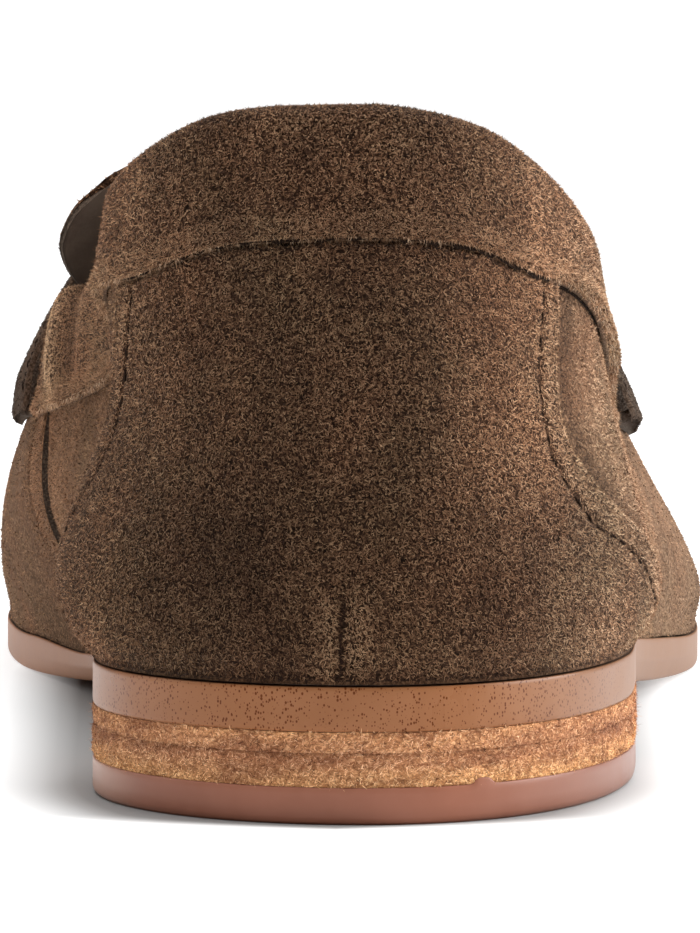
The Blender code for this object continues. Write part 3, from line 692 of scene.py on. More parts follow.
def lift_layers(finish):
    """Tone up the two lifts: golden at the foot, a dark line at the joint that is painted shade in the groove between
    them, and a pale band over it that is painted light on the upper lift's lower edge.
    """
    wander = finish.span(finish.noise(5.0, 3.0, 0.6), 0.0, 1.0, -0.0007, 0.0007)
    height = finish.math("ADD", finish.axes["Z"], wander)
    share = finish.span(height, 0.004, 0.011)
    shade = finish.ramp(share, (0.05, (1.54, 1.58, 1.50)), (0.24, (1.46, 1.47, 1.49)), (0.46, (1.24, 1.16, 1.24)),
                        (0.58, (0.98, 0.88, 0.94)), (0.66, (1.34, 1.30, 1.42)), (0.84, (1.42, 1.38, 1.46)),
                        (0.97, (1.3, 1.24, 1.26)))
    worn = finish.noise(7.0, 3.0, 0.6, 0.4, finish.stretched((1.0, 1.0, 3.0)))
    return finish.times(shade, finish.ramp(worn, (0.34, (0.66, 0.57, 0.58)), (0.58, 1.1)))


def stacked_finish():
    dark, middle, light = (0.15, 0.062, 0.027), (0.44, 0.215, 0.092), (0.80, 0.52, 0.27)
    finish = Finish("stacked_leather_edge", middle, 0.85, Specular_IOR_Level=0.2)
    crumb = finish.noise(0.62, 4.0, 0.68, 0.8, finish.stretched((1.0, 1.0, 1.4)))
    layer = finish.noise(3.0, 2.0, 0.5, 0.3, finish.stretched((0.12, 0.12, 1.0)))
    colour = finish.ramp(crumb, (0.32, dark), (0.5, middle), (0.68, light))
    tint = finish.ramp(layer, (0.38, (0.78, 0.68, 0.66)), (0.6, (1.12, 1.08, 1.0)))
    colour = finish.times(colour, tint, 0.8)
    finish.drive("Base Color", finish.times(colour, lift_layers(finish)))
    finish.drive("Normal", finish.bump(crumb, 0.9, 0.5))
    return finish.material


def rubber_finish():
    base, light = (0.326, 0.124, 0.075), (0.360, 0.143, 0.090)
    finish = Finish("heel_rubber", base, 0.32, Specular_IOR_Level=0.34)
    cloud = finish.noise(7.0, 3.0, 0.6)
    fine = finish.noise(0.3, 2.0, 0.5)
    colour = finish.ramp(cloud, (0.35, base), (0.7, light))
    # Painted reflection: the medial end much lighter and greyer; painted shade towards the lateral end.
    finish.drive("Base Color", finish.times(colour, painted_side_light(finish, (1.5, 2.1, 2.4))))
    polish(finish, 0.2, 0.42)
    finish.drive("Roughness", finish.ramp(cloud, (0.3, 0.30), (0.7, 0.40)))
    finish.drive("Normal", finish.bump(fine, 0.05, 0.06))
    return finish.material


def thread_finish(name, colour, light):
    finish = Finish(name, colour, 0.9, Specular_IOR_Level=0.05)
    twist = add(finish.tree, "TexWave", {"Vector": finish.place, "Scale": 900.0, "Distortion": 2.0}).outputs["Fac"]
    finish.drive("Base Color", finish.ramp(twist, (0.2, colour), (0.8, light)))
    finish.drive("Normal", finish.bump(twist, 0.5, 0.08))
    return finish.material


def floor_finish():
    """White floor with a painted shadow and painted light: its colour is darker near the sole and it glows away from
    the shoe, so brightness grows with the distance from the sole.
    """
    finish = Finish("pale_floor", (0.46, 0.46, 0.46), 0.7, Specular_IOR_Level=0.2)
    side = finish.math("ABSOLUTE", finish.math("ADD", finish.axes["X"], 0.0015))
    ahead = finish.math("ADD", finish.axes["Y"], 0.145)
    away = finish.math("MULTIPLY_ADD", finish.math("MINIMUM", ahead, 0.16), -0.035, side)
    behind, clear = (finish.math("SUBTRACT", reach, ahead) for reach in (0.038, 0.010))
    for past, rise in (behind, 7.0), (clear, 150.0), (finish.math("SUBTRACT", ahead, 0.15), 6.0):
        past = finish.math("MAXIMUM", past, 0.0)
        away = finish.math("MULTIPLY_ADD", finish.math("MULTIPLY", past, past), rise, away)
    away = finish.math("DIVIDE", away, 0.64)
    # Painted light: the floor glows, more with the distance from the sole.
    glow = finish.ramp(away, (0.0484, 0.0), (0.0625, 0.6), (0.297, 0.75), (1.0, 1.0))
    # Painted shadow: the floor's colour is darker near the sole.
    finish.drive("Base Color", finish.ramp(away, (0.047, 0.34), (0.062, 0.46)))
    finish.set("Emission Color", (1.0, 1.0, 1.0, 1.0))
    finish.drive("Emission Strength", glow)
    finish.drive("Roughness", finish.ramp(finish.noise(40.0), (0.3, 0.68), (0.7, 0.74)))
    return finish.material


# Suede under dense nap, darker than open_suede: painted shade in the gaps between the fibres.
SUEDE = suede_finish("suede", (0.005, 0.0024, 0.0013), (0.020, 0.0096, 0.0054), (0.062, 0.031, 0.018))
RAW_EDGE = suede_finish("suede_cut_edge", (0.030, 0.018, 0.012), (0.085, 0.052, 0.035), (0.17, 0.11, 0.075), 0.3)
OPEN_SUEDE = suede_finish("open_suede", (0.024, 0.0116, 0.0062), (0.070, 0.0355, 0.0195), (0.150, 0.083, 0.048))
STRAP_SUEDE = suede_finish("strap_suede", (0.008, 0.0045, 0.0028), (0.028, 0.0162, 0.0104), (0.065, 0.040, 0.0265))
STRAP_EDGE = suede_finish("strap_cut_edge", (0.012, 0.008, 0.006), (0.028, 0.0195, 0.0145), (0.055, 0.039, 0.029),
                          0.3)
NAP = fibre_finish("suede_nap", (0.0180, 0.0077, 0.0041), (0.141, 0.0705, 0.0362), (0.345, 0.213, 0.125), 0.16,
                   nap_patches_and_painted_light)
STRAP_NAP = fibre_finish("strap_nap", (0.008, 0.0045, 0.0028), (0.033, 0.0200, 0.0130), (0.085, 0.055, 0.037), 0.1,
                         nap_patches_and_painted_light)
LEATHER_NAP = fibre_finish("leather_nap", (0.085, 0.032, 0.014), (0.42, 0.20, 0.088), (0.95, 0.64, 0.36), 0.05,
                           lift_layers)
LINING = lining_finish("lining_leather", (0.082, 0.058, 0.044), (0.125, 0.092, 0.068))
SOCK = lining_finish("insole_leather", (0.16, 0.082, 0.045), (0.22, 0.12, 0.068))
SOLE_EDGE = sole_edge_finish()
# The sole's top face is dark: painted shade at the ledge where the upper meets the sole.
SOLE_TOP = lining_finish("sole_top_leather", (0.040, 0.018, 0.009), (0.07, 0.032, 0.016))
STACKED = stacked_finish()
RUBBER = rubber_finish()
# Thread and stitch holes, near black: painted shade in the sunk stitch lines and in the holes.
THREAD = thread_finish("thread", (0.012, 0.0066, 0.0042), (0.028, 0.0160, 0.0104))
PIT = thread_finish("stitch_hole", (0.005, 0.0030, 0.0022), (0.011, 0.0064, 0.0046))
# Lighter fibres at the band's hem: the cut edge's own paler fuzz, lightened further as painted light on the lip.
HEM_FUZZ_AND_PAINTED_LIGHT = fibre_finish("hem_fuzz_and_painted_light", (0.10, 0.058, 0.036), (0.34, 0.22, 0.140), (0.62, 0.45, 0.31), 0.1, nap_patches_and_painted_light)
HEM_SHADE = thread_finish("hem_shade", (0.0095, 0.0055, 0.0036), (0.021, 0.0118, 0.0078))


# Mesh pieces

def level_normals(arcs):
    """Level directions off the outline, for columns of a wall."""
    return np.column_stack([outline_normal(arcs), np.zeros(len(arcs))])[:, None, :]


def collar_flare(arcs, grid):
    """Shift of the top line, which opens outwards on the medial side behind the strap; for columns of a wall."""
    low, high = collar_height(arcs, hem=True)[:, None] - 6.0, collar_height(arcs)[:, None]
    along = window(grid[..., 1], *COLLAR_FLARE_ENDS)
    size = COLLAR_FLARE * (arcs < 0)[:, None] * along * smoothstep(0.0, 1.0, (grid[..., 2] - low) / (high - low))
    return size[..., None] * level_normals(arcs)


def add_object(name, mesh):
    obj = bpy.data.objects.new(name, mesh)
    bpy.context.scene.collection.objects.link(obj)
    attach(obj, "root")
    return obj


def add_piece(name, points, faces, materials, nodes=(), kinds=None):
    """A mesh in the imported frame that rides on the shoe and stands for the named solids."""
    mesh = bpy.data.meshes.new(name)
    mesh.from_pydata(((np.asarray(points).reshape(-1, 3) + TO_FRAME) * MM).tolist(), [], faces)
    for material in materials:
        mesh.materials.append(material)
    if kinds is not None:
        mesh.polygons.foreach_set("material_index", np.asarray(kinds, np.int32))
    mesh.shade_smooth()
    obj = add_object(name, mesh)
    if nodes:
        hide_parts(*nodes)


def quads(index):
    """Faces of a grid of vertex numbers, which face along first axis x second axis."""
    return np.stack([index[:-1, :-1], index[1:, :-1], index[1:, 1:], index[:-1, 1:]], axis=-1).reshape(-1, 4)


def closed(index):
    """A grid of vertex numbers with its first column once more at the end."""
    return np.concatenate([index, index[:, :1]], axis=1)


def add_sheet(name, outer, inner, materials, slot, nodes, open_top=slice(None), closed_ends=True):
    """A sheet between two grids; materials are for its outside, its inside and its cut edges.

    open_top is the stretch of its last row that has a cut edge.
    """
    n, m = outer.shape[:2]
    out = np.arange(n * m).reshape(n, m)
    back = out + n * m
    foot = np.stack([back[:, 0], out[:, 0]], axis=1)
    top = np.stack([out[:, -1], back[:, -1]], axis=1)
    ends = [np.stack([out[0], back[0]], axis=1), np.stack([back[-1], out[-1]], axis=1)]
    groups = [(quads(out), 0), (quads(back)[:, ::-1], 1), (quads(foot), 2), (quads(top[open_top]), 2)]
    if closed_ends:
        groups += [(quads(end)[:, ::-1], 2) for end in ends]
    faces = np.concatenate([group for group, kind in groups])
    kinds = np.concatenate([np.full(len(group), kind) for group, kind in groups])
    points = np.concatenate([outer.reshape(-1, 3), inner.reshape(-1, 3)])
    add_piece(name, points, faces.tolist(), materials, nodes, kinds)


def add_fibres(name, root, normal, tangent, length, width, tone, material):
    """One mesh of short flat fibres, a triangle each."""
    count = len(root)
    side = np.cross(tangent, normal) * (width[:, None] / 2.0)
    tip = root + tangent * length[:, None]
    points = np.stack([root - side, root + side, tip], axis=1).reshape(-1, 3)
    mesh = bpy.data.meshes.new(name)
    mesh.vertices.add(3 * count)
    mesh.vertices.foreach_set("co", ((points + TO_FRAME) * MM).astype(np.float32).ravel())
    mesh.loops.add(3 * count)
    mesh.loops.foreach_set("vertex_index", np.arange(3 * count, dtype=np.int32))
    mesh.polygons.add(count)
    mesh.polygons.foreach_set("loop_start", np.arange(0, 3 * count, 3, dtype=np.int32))
    mesh.update(calc_edges=True)
    shade = mesh.attributes.new("tone", "FLOAT", "POINT")
    shade.data.foreach_set("value", np.repeat(tone, 3).astype(np.float32))
    mesh.materials.append(material)
    add_object(name, mesh)


def nap_lie_and_painted_light(rng, normal, comb, stray, lift):
    """Directions for fibres: combed one way in the surface, strayed at random, and lifted off it."""
    along = comb + rng.normal(size=normal.shape) * stray
    along = unit(along - normal * np.sum(along * normal, axis=1, keepdims=True))
    angle = np.radians(rng.uniform(*lift, len(normal)))[:, None]
    return along * np.cos(angle) + normal * np.sin(angle)


def add_nap(name, grids, per_mm2, seed, length=(0.36, 0.74), width=(0.145, 0.255), comb=(0.2, 0.1, -0.35),
            stray=0.9, lift=(2.0, 34.0), material=NAP, lighter=0.0, marks=None):
    """Nap over grids of points, each with a share of fibres for its cells and a shade for its points, a tone offset
    that paints light and shade; marks, if given, adds painted shade by place.
    """
    loose_share, loose_longer, loose_thinner, sink = 0.03, 1.5, 0.5, 0.04
    rng = np.random.default_rng(seed)
    roots, normals, shades = [], [], []
    for grid, share, shade in grids:
        facing = grid_normals(grid)
        a, b, c, d = grid[:-1, :-1], grid[1:, :-1], grid[1:, 1:], grid[:-1, 1:]
        area = 0.5 * np.linalg.norm(np.cross(c - a, d - b), axis=2) * share
        count = int(area.sum() * per_mm2)
        i, j = np.unravel_index(rng.choice(area.size, size=count, p=(area / area.sum()).ravel()), area.shape)
        u, v = rng.random((2, count, 1))
        roots.append(bilinear(grid, i, j, u, v))
        normals.append(mix(facing[i, j], facing[i + 1, j + 1], u))
        shades.append(bilinear(np.broadcast_to(shade, grid.shape[:2]), i, j, u[:, 0], v[:, 0]))
    root, normal = np.concatenate(roots), unit(np.concatenate(normals))
    count = len(root)
    tangent = nap_lie_and_painted_light(rng, normal, np.array(comb), stray, lift)
    loose = rng.random(count) < loose_share
    tangent = np.where(loose[:, None], unit(tangent + normal * rng.uniform(0.3, 1.4, count)[:, None]), tangent)
    tone = rng.beta(2.3, 2.5, count) + 0.12 * lump(root, 0.5, seed) + 0.07 * lump(root, 8.0, seed + 3) + lighter
    tone = 0.5 + (tone - 0.5) * mix(1.0, 0.4, smoothstep(30.0, 95.0, root[:, 1]))
    tone = tone + np.concatenate(shades) + (0.0 if marks is None else marks(root))
    lengths = rng.uniform(*length, count) * np.where(loose, loose_longer, 1.0)
    widths = rng.uniform(*width, count) * np.where(loose, loose_thinner, 1.0)
    add_fibres(name, root - sink * normal, normal, tangent, lengths, widths, np.clip(tone, 0.0, 1.0), material)


def along_path(points, normals, marks):
    """Points and unit normals at marks along a line of points."""
    steps = lengths_along(points)
    place, facing = (np.column_stack([np.interp(marks, steps, axis) for axis in line.T])
                     for line in (points, normals))
    return place, unit(facing)


def path_length(points):
    return np.linalg.norm(np.diff(points, axis=0), axis=1).sum()


def add_stitches(name, paths, pitch, length, radius, sink, holes=True):
    """Rows of short threads that dip into a hole at both ends; paths are pairs of points and normals."""
    rings, sides = 7, 7
    points, faces, kinds = [], [], []
    turns = 2.0 * math.pi * np.arange(sides) / sides
    rng = np.random.default_rng(5)
    for path, facing in paths:
        for middle in np.arange(0.6 * pitch, path_length(path) - 0.4 * pitch, pitch):
            thread = ((-0.5 * rng.uniform(0.7, 1.1), 0.5 * rng.uniform(0.7, 1.1)), 1.0, sink, 0)
            hole = ((0.46, 0.46 + pitch / length - 0.92), 1.15, sink + 0.12, 1)
            for spans, bulge, depth, kind in ((thread, hole) if holes else (thread,)):
                start = len(points)
                share = np.linspace(0.0, 1.0, rings)
                marks = middle + length * mix(*spans, share)
                place, out = along_path(path, facing, marks)
                ahead = unit(np.gradient(place, axis=0))
                side = unit(np.cross(ahead, out))
                arch = np.sin(math.pi * share)
                wobble = rng.normal(0.0, 0.06)
                for k in range(rings):
                    size = radius * bulge * (0.35 + 0.65 * math.sqrt(max(arch[k], 0.0)))
                    centre = place[k] + out[k] * (radius * (arch[k] - 1.0) - depth) + side[k] * wobble
                    for turn in turns:
                        points.append(centre + size * (math.cos(turn) * side[k] + math.sin(turn) * out[k]))
                for k in range(rings - 1):
                    for i in range(sides):
                        j = (i + 1) % sides
                        first, second = start + k * sides, start + (k + 1) * sides
                        faces.append((first + j, first + i, second + i, second + j))
                        kinds.append(kind)
                faces.append(tuple(range(start, start + sides)))
                faces.append(tuple(range(start + (rings - 1) * sides, start + rings * sides))[::-1])
                kinds += [kind, kind]
    add_piece(name, np.array(points), faces, [THREAD, PIT], kinds=kinds)


# Upper

def seam_waver(points):
    """How far the vamp's rear edge strays from its line."""
    return 0.25 * lump(points, 3.0, 4)


def past_seam(points):
    return points[..., 1] - seam_y(points[..., 2]) - seam_waver(points)


def vamp_seam_relief(points):
    """The vamp's rear edge lies over the quarter: the quarter dips under it and the vamp stands a little proud."""
    ahead = past_seam(points)
    rise = smoothstep(-0.12, 0.32, ahead) * np.exp(-np.maximum(ahead, 0.0) / 9.0)
    dip = (1.0 - smoothstep(-0.12, 0.2, ahead)) * np.exp(np.minimum(ahead, 0.0) / 5.0)
    low = 1.0 - smoothstep(40.0, 52.0, points[..., 2])
    return VAMP_STEP * (0.45 * rise - 0.55 * dip) * low


def make_upper():
    near_seam = np.linspace(109.0, 119.0, 42)
    stations = np.unique(np.concatenate([heel_to_toe(40, 84, 38), [BAND_END_Y, THROAT_Y], near_seam]))
    arcs = both_sides(stations)
    y = outline_point(arcs)[:, 1]
    columns = wall_columns(arcs)
    shares = np.linspace(0.0, 1.0, 58) ** 1.15
    outer = on_wall(columns, edge_level(arcs, columns)[:, None] * shares[None, :])
    normals = grid_normals(outer)
    normals[:, -1] = unit(normals[:, -1] + normals[::-1, -1] * (y >= THROAT_Y)[:, None])
    normals[0] = normals[-1] = unit(normals[0] + normals[-1])
    outer = outer + collar_flare(arcs, outer)
    inner = outer - WALL * normals
    from_low = border_distances(outer)[2]
    relief = 0.45 * np.exp(-from_low / 1.2) + vamp_seam_relief(outer)
    relief = relief + 0.10 * lump(outer, 11.0, 1) * smoothstep(0.0, 6.0, from_low)
    outer = outer + relief[..., None] * normals
    low = waist_drop(outer[:, :1, 0], outer[:, :1, 1]) * np.exp(-border_distances(outer)[2] / 3.0)
    outer[..., 2] -= low
    inner[..., 2] -= low
    covered = np.flatnonzero(y < THROAT_Y + 1e-6)
    add_sheet("upper_suede", outer, inner, [OPEN_SUEDE, LINING, RAW_EDGE], "suede", ["upper"],
              slice(covered[0], covered[-1] + 1), closed_ends=False)
    return outer, arcs


def seam_path(side, ahead, lift):
    """Line up the wall a little ahead of the vamp's rear edge, off the surface by lift."""
    height = np.linspace(15.0, 43.0, 120)
    y = seam_y(height) + ahead + seam_waver(wall_points(arc_at(side, seam_y(height)), height))
    arc, step = arc_at(side, y), 0.4
    along = wall_points(arc_at(side, y + step), height) - wall_points(arc_at(side, y - step), height)
    up = wall_points(arc, height + step) - wall_points(arc, height - step)
    return wall_points(arc, height) + lift * side * unit(np.cross(along, up))


def add_ribbon(name, strips, material):
    """Thin dark strips of painted shade that sit in grooves; each is a pair of lines of points."""
    points, faces = [], []
    for low, high in strips:
        index = sum(len(group) for group in points) + np.arange(2 * len(low)).reshape(2, -1).T
        points += [low, high]
        faces += quads(index).tolist()
    add_piece(name, np.concatenate(points), faces, [material])


# Counter panel

def edge_slant(height, side):
    """Length along the counter panel's slanted cut edge for each millimetre of height."""
    slope = counter_reach(height + WALL_STEP, side) - counter_reach(height - WALL_STEP, side)
    return np.sqrt(1.0 + slope * slope)


def past_dart(x, height):
    """Distance across from the dart, which leans a little."""
    return x - DART_X - DART_LEAN * (height - 22.0)


def panel_place(across, up, low_clear):
    """Places on the outline and heights of the panel's points, found by turns since each limits the other."""
    height = mix(18.0, 66.0, up)
    for _ in range(6):
        arc = across * counter_reach(height, across)
        low = sole_top(outline_point(arc)[..., 1]) + low_clear
        top = collar_height(arc, hem=True) - 1.5 * GAP - 0.25 * ragged(arc, 1.4, 7)
        height = mix(low, top, up)
    return arc, height


def make_counter():
    across, up = np.meshgrid(2.0 * crowded(210, 0.75) - 1.0, crowded(96, 0.6), indexing="ij")
    arc, height = panel_place(across, up, 0.75)
    base = heel_wall(arc, height)
    normals = grid_normals(base)
    inside = (counter_reach(height, arc) - np.abs(arc)) / edge_slant(height, arc) - 0.18 * lump(base, 2.2, 6)
    off_stitch = inside - PANEL_STITCH_IN
    _, _, from_low, from_top = border_distances(base)
    tuck = mix(0.5, 1.0, smoothstep(0.0, 4.0, from_low))
    thick = COUNTER_THICK * cut_edge(np.maximum(inside, 0.0)) * cut_edge(from_top, 0.5, 0.6)
    lift = mix(0.08, COUNTER_LIFT, smoothstep(0.0, 5.0, from_low))
    groove = -0.24 * bell(off_stitch, 0.42)
    puff = 0.10 * bell(off_stitch + 1.3, 0.7)
    foot, head = DART_HEIGHTS
    off_dart = past_dart(base[..., 0], height)
    dart = -0.9 * bell(off_dart, 0.5) + 0.4 * bell(np.abs(off_dart) - 1.7, 1.2)
    dart = window(height, foot - 1.0, foot + 2.0, head - 3.0, head + 0.5) * dart
    soft = 0.16 * lump(base, 12.0, 2) + 0.06 * lump(base, 4.0, 3)
    relief = (groove + puff + dart + soft * smoothstep(0.0, 3.0, inside)) * tuck
    base = base + lift[..., None] * normals
    outer = base + (thick * tuck + relief)[..., None] * normals
    add_sheet("counter_panel_suede", outer, base, [SUEDE, SUEDE, RAW_EDGE], "suede", ["counter_panel"])
    # Tone offsets for the panel's nap: lighter along the cut edge, painted shade in the stitch groove with painted
    # light on the puff beside it, and painted shade along the foot by the sole.
    shade = 0.42 * bell(inside, 0.6) - 0.40 * bell(off_stitch, 0.32)
    shade = shade + 0.12 * bell(off_stitch + 1.0, 0.7) - 0.5 * np.exp(-from_low / 0.45)
    return outer, shade


def dart_painted_shade(points):
    """Painted shade of the nap at the dart: a dark crease line, with painted light on the nap on both sides of it."""
    x, y, z = points.T
    foot, head = DART_HEIGHTS
    inside = window(z, foot, foot + 2.0, head - 4.0, head) * (y < 12.0)
    off = past_dart(x, z) - 0.12 * lump(points, 2.0, 15)
    return inside * (0.26 * bell(np.abs(off) - 1.6, 1.2) - 1.2 * bell(off, 0.27))


def counter_stitch_paths(lift):
    """Stitch rows just inside the panel's two cut edges."""
    paths = []
    for side in (MEDIAL, LATERAL):
        height = np.linspace(64.5, 18.0, 240)
        for _ in range(3):
            arc = side * (counter_reach(height, side) - PANEL_STITCH_IN * edge_slant(height, side))
            height = np.maximum(height, sole_top(outline_point(arc)[:, 1]) + 2.6)
        height = np.minimum(height, collar_height(arc, hem=True) - 1.4)
        points, normal = off_heel_wall(arc, height, lift)
        keep = np.concatenate([[True], np.linalg.norm(np.diff(points, axis=0), axis=1) > 0.01])
        paths.append((points[keep], normal[keep]))
    return paths


# Collar band

def band_fold(points):
    """Soft upright crease in the band's medial side behind the strap: a ridge in front of it and a trough behind."""
    place = points[..., 1] - 101.5 - 0.3 * (points[..., 2] - 46.0)
    return (bell(place - 7.0, 3.2) - 0.9 * bell(place, 2.8)) * (points[..., 0] < 0)


def make_collar_band():
    cut = BAND_END_Y - np.array([1.2, 0.5, 0.15, 0.0])
    arcs = both_sides(np.unique(np.concatenate([heel_to_toe(44, 96, 4, end_y=BAND_END_Y), cut])))
    columns = wall_columns(arcs)
    edges = edge_level(arcs, columns)
    hems = level_at(columns, collar_height(arcs, hem=True)[:, None])[:, 0]
    shares = np.concatenate([[0.0, 0.008, 0.02, 0.04, 0.065], np.linspace(0.1, 1.0, 26)])
    outside = on_wall(columns, mix(hems[:, None], edges[:, None], shares[None, :]))
    normals = grid_normals(outside)
    rim, out = outside[:, -1], normals[:, -1]
    up = unit(outside[:, -1] - outside[:, -2])
    lines = [outside[:, j] + GAP * normals[:, j] for j in range(len(shares))]
    middle = rim - out * WALL / 2.0
    for turn in np.linspace(0.0, math.pi, 13)[1:]:
        lines.append(middle + RIM * (math.cos(turn) * out + math.sin(turn) * up))
    inward = np.flatnonzero(shares >= 0.5)[::-1]
    lines += [outside[:, j] - (WALL + GAP) * normals[:, j] for j in inward[1:]]
    base = np.stack(lines, axis=1)
    first, last, from_hem, from_in = border_distances(base)
    ends = np.minimum(first, last)
    thick = BAND_THICK * cut_edge(from_hem, 0.7, 0.5) * cut_edge(ends, 0.6, 0.6) * cut_edge(from_in, 0.6, 0.4)
    thick = thick * mix(0.5, 1.0, smoothstep(0.0, 4.5, ends))
    full = 0.95 * bell(arcs - 25.0, 12.0) + 0.5 * bell(arcs + 25.0, 12.0)
    full = full[:, None] * smoothstep(3.0, 12.0, from_hem) * smoothstep(0.0, 6.0, from_in)
    base = base + full[..., None] * level_normals(arcs) + collar_flare(arcs, base)
    facing = grid_normals(base)
    wave = 1.0 + 0.5 * lump(base, 7.0, 8)
    proud = 1.0 + 0.35 * window(-arcs, 30.0, 44.0, 70.0, 95.0)
    lip = HEM_LIP * proud[:, None] * wave * np.exp(-from_hem / 2.2) * smoothstep(0.0, 0.5, from_hem)
    soft = 0.14 * lump(base, 10.0, 5) * smoothstep(0.0, 3.0, from_hem)
    shift = 0.16 * lump(base, 2.4, 9) * np.exp(-from_hem / 0.8)
    fold = BAND_FOLD * band_fold(base) * smoothstep(1.0, 5.0, from_hem)
    outer = base + (thick + lip + soft + fold)[..., None] * facing
    outer[..., 2] += shift
    add_sheet("collar_band_suede", outer, base, [SUEDE, SUEDE, RAW_EDGE], "suede", ["collar_band"])
    return outer, len(shares)


def hem_path(ends, lift, drop):
    """Line and directions off the wall in the groove under the band's hem, around the heel."""
    arc = np.linspace(*ends, HEM_POINTS)
    return off_heel_wall(arc, collar_height(arc, hem=True) - drop, lift)


def hem_strip(ends, lift, above, depth):
    """Strip from a little above the hem down by depth, for the dark line under the hem."""
    return hem_path(ends, lift, depth - above)[0], hem_path(ends, lift, -above)[0]


def make_hem_shadow():
    arc = np.linspace(*HEM_ENDS, HEM_POINTS)
    on_panel = np.abs(arc) < counter_reach(collar_height(arc, hem=True), arc)
    depth = np.where(on_panel, 1.3, 0.65) * (1.0 - window(arc, -54.0, -46.0, -37.0, -33.0))
    behind = hem_strip(HEM_ENDS, 0.16, 0.3, depth)
    start, end = HEM_OVER_PANEL
    arc = np.linspace(start, end, HEM_POINTS)
    depth = np.clip(0.17 + 0.26 * ragged(arc, 1.1, 16) + 0.20 * smoothstep(8.0, 24.0, arc), 0.0, 0.62)
    depth = window(arc, start, start + 4.5, end - 3.5, end) * (0.1 + depth)
    add_ribbon("hem_shadow", [behind, hem_strip(HEM_OVER_PANEL, PANEL_FACE + 0.06, 0.1, depth)], HEM_SHADE)


# Tongue and strap

def instep_points(across, y, low_z):
    """Points of the last's surface, from -1 at low_z on the medial side over the ridge to +1; inputs are grids."""
    shape = np.broadcast(across, y, low_z).shape
    across, y, low_z = (np.broadcast_to(value, shape).ravel() for value in (across, y, low_z))
    arc = np.where(across > 0, arc_at(LATERAL, y), arc_at(MEDIAL, y))
    columns = wall_columns(arc)
    low = level_at(columns, low_z[:, None])
    return on_wall(columns, mix(RIDGE, low, np.abs(across)[:, None]))[:, 0].reshape(*shape, 3)


def make_tongue():
    reach, flare = curve(TONGUE, "y", "reach"), curve(TONGUE, "y", "flare")
    across = 2.0 * crowded(61, 0.6) - 1.0
    y = np.concatenate([np.linspace(103.4, 107.0, 16), np.linspace(107.4, 122.0, 26), np.linspace(123.5, 137.0, 8)])
    base = instep_points(across[:, None] * reach(y)[None, :], y[None, :], TONGUE_LOW_Z)
    normals = grid_normals(base)
    sides = np.where(across > 0, TONGUE_LATERAL_FLARE, 1.0)
    base = base + (GAP + np.outer(sides * across**2, flare(y)))[..., None] * normals
    normals = grid_normals(base)
    first, last, rear, _ = border_distances(base)
    thick = TONGUE_THICK * cut_edge(np.minimum(np.minimum(first, last), rear), 0.7, 0.6)
    outer = base + thick[..., None] * normals
    add_sheet("tongue_suede", outer, base, [SUEDE, LINING, STRAP_EDGE], "suede", ["tongue"])
    return outer


def make_strap():
    shares = crowded(34, 0.7)
    across = 2.0 * crowded(110, 0.6) - 1.0
    rear = mix(*STRAP_REAR_Y, np.abs(across))[:, None]
    front = mix(*STRAP_FRONT_Y, np.abs(across))[:, None]
    corner = np.clip(shares / 0.13, 0.0, 1.0)
    low = STRAP_END_HEIGHT - STRAP_END_DROP * shares**2 + 1.6 * (1.0 - np.sqrt(1.0 - (1.0 - corner) ** 2))
    low = low[None, :] + mix(0.5, -0.9, across > 0)[:, None]
    base = instep_points(across[:, None], mix(rear, front, shares[None, :]), low)
    at_end = smoothstep(0.6, 0.86, np.abs(across))[:, None]
    settled = mix(smoothstep(*STRAP_SETTLES, shares)[None, :], smoothstep(0.0, 0.22, shares)[None, :], at_end)
    lift = mix(mix(STRAP_LIFT[0], 1.0, at_end), mix(STRAP_LIFT[1], 0.25, at_end), settled)
    padding = mix(*STRAP_LIFT, smoothstep(*STRAP_SETTLES, shares))[None, :] - lift
    base = base + lift[..., None] * grid_normals(base)
    normals = grid_normals(base)
    first, last, back, ahead = border_distances(base)
    from_end, from_side = np.minimum(first, last), np.minimum(back, ahead)
    groove = -0.22 * bell(from_side - STRAP_STITCH_IN, 0.4)
    thick = STRAP_THICK * cut_edge(np.minimum(from_end, from_side), 0.7, 0.6) + groove + 0.06 * lump(base, 8.0, 12)
    ends = mix(np.where(across > 0, 0.9, 0.4)[:, None], 1.0, smoothstep(0.0, 5.0, from_end))
    thick = thick + np.maximum(padding, 0.0) * ends
    thick = thick + 0.7 * smoothstep(0.75, 0.95, across)[:, None] * (1.0 - shares)[None, :]
    outer = base + thick[..., None] * normals
    add_sheet("saddle_strap_suede", outer, base, [STRAP_SUEDE, STRAP_EDGE, STRAP_EDGE], "suede", ["saddle_strap"])
    paths = []
    reach = 3
    even = np.ones(2 * reach + 1) / (2 * reach + 1.0)
    for distance in (back, ahead):
        column = np.argmin(np.abs(distance - STRAP_STITCH_IN), axis=1)
        line = outer[np.arange(len(outer)), column]
        facing = normals[np.arange(len(outer)), column]
        smooth = np.array([np.convolve(np.pad(axis, reach, mode="edge"), even, "valid") for axis in line.T]).T
        paths.append((smooth[4:-4] + 0.15 * facing[4:-4], facing[4:-4]))
    add_stitches("saddle_strap_stitches", paths, STITCH_PITCH, STITCH_LENGTH, radius=0.2, sink=0.0)
    return outer


# Sole and heel

def edge_faces(levels, count):
    """Faces between closed rings of count points, one ring to a level."""
    return quads(closed(np.arange(levels * count).reshape(levels, count)).T).tolist()


def edge_rings(plan, out, low, high, side_rows, relief=None, shift=None):
    """Rings of points up a layer's edge; side_rows are shares of its height and how far they are tucked in."""
    rings = []
    for share, tuck in side_rows:
        here = plan - out * tuck
        ring = np.column_stack([here, mix(low(here), high(here), share)])
        if relief is not None:
            ring[:, :2] += out * relief(ring, share)[:, None]
        if shift is not None:
            ring += shift(ring, out, share)
        rings.append(ring)
    return rings


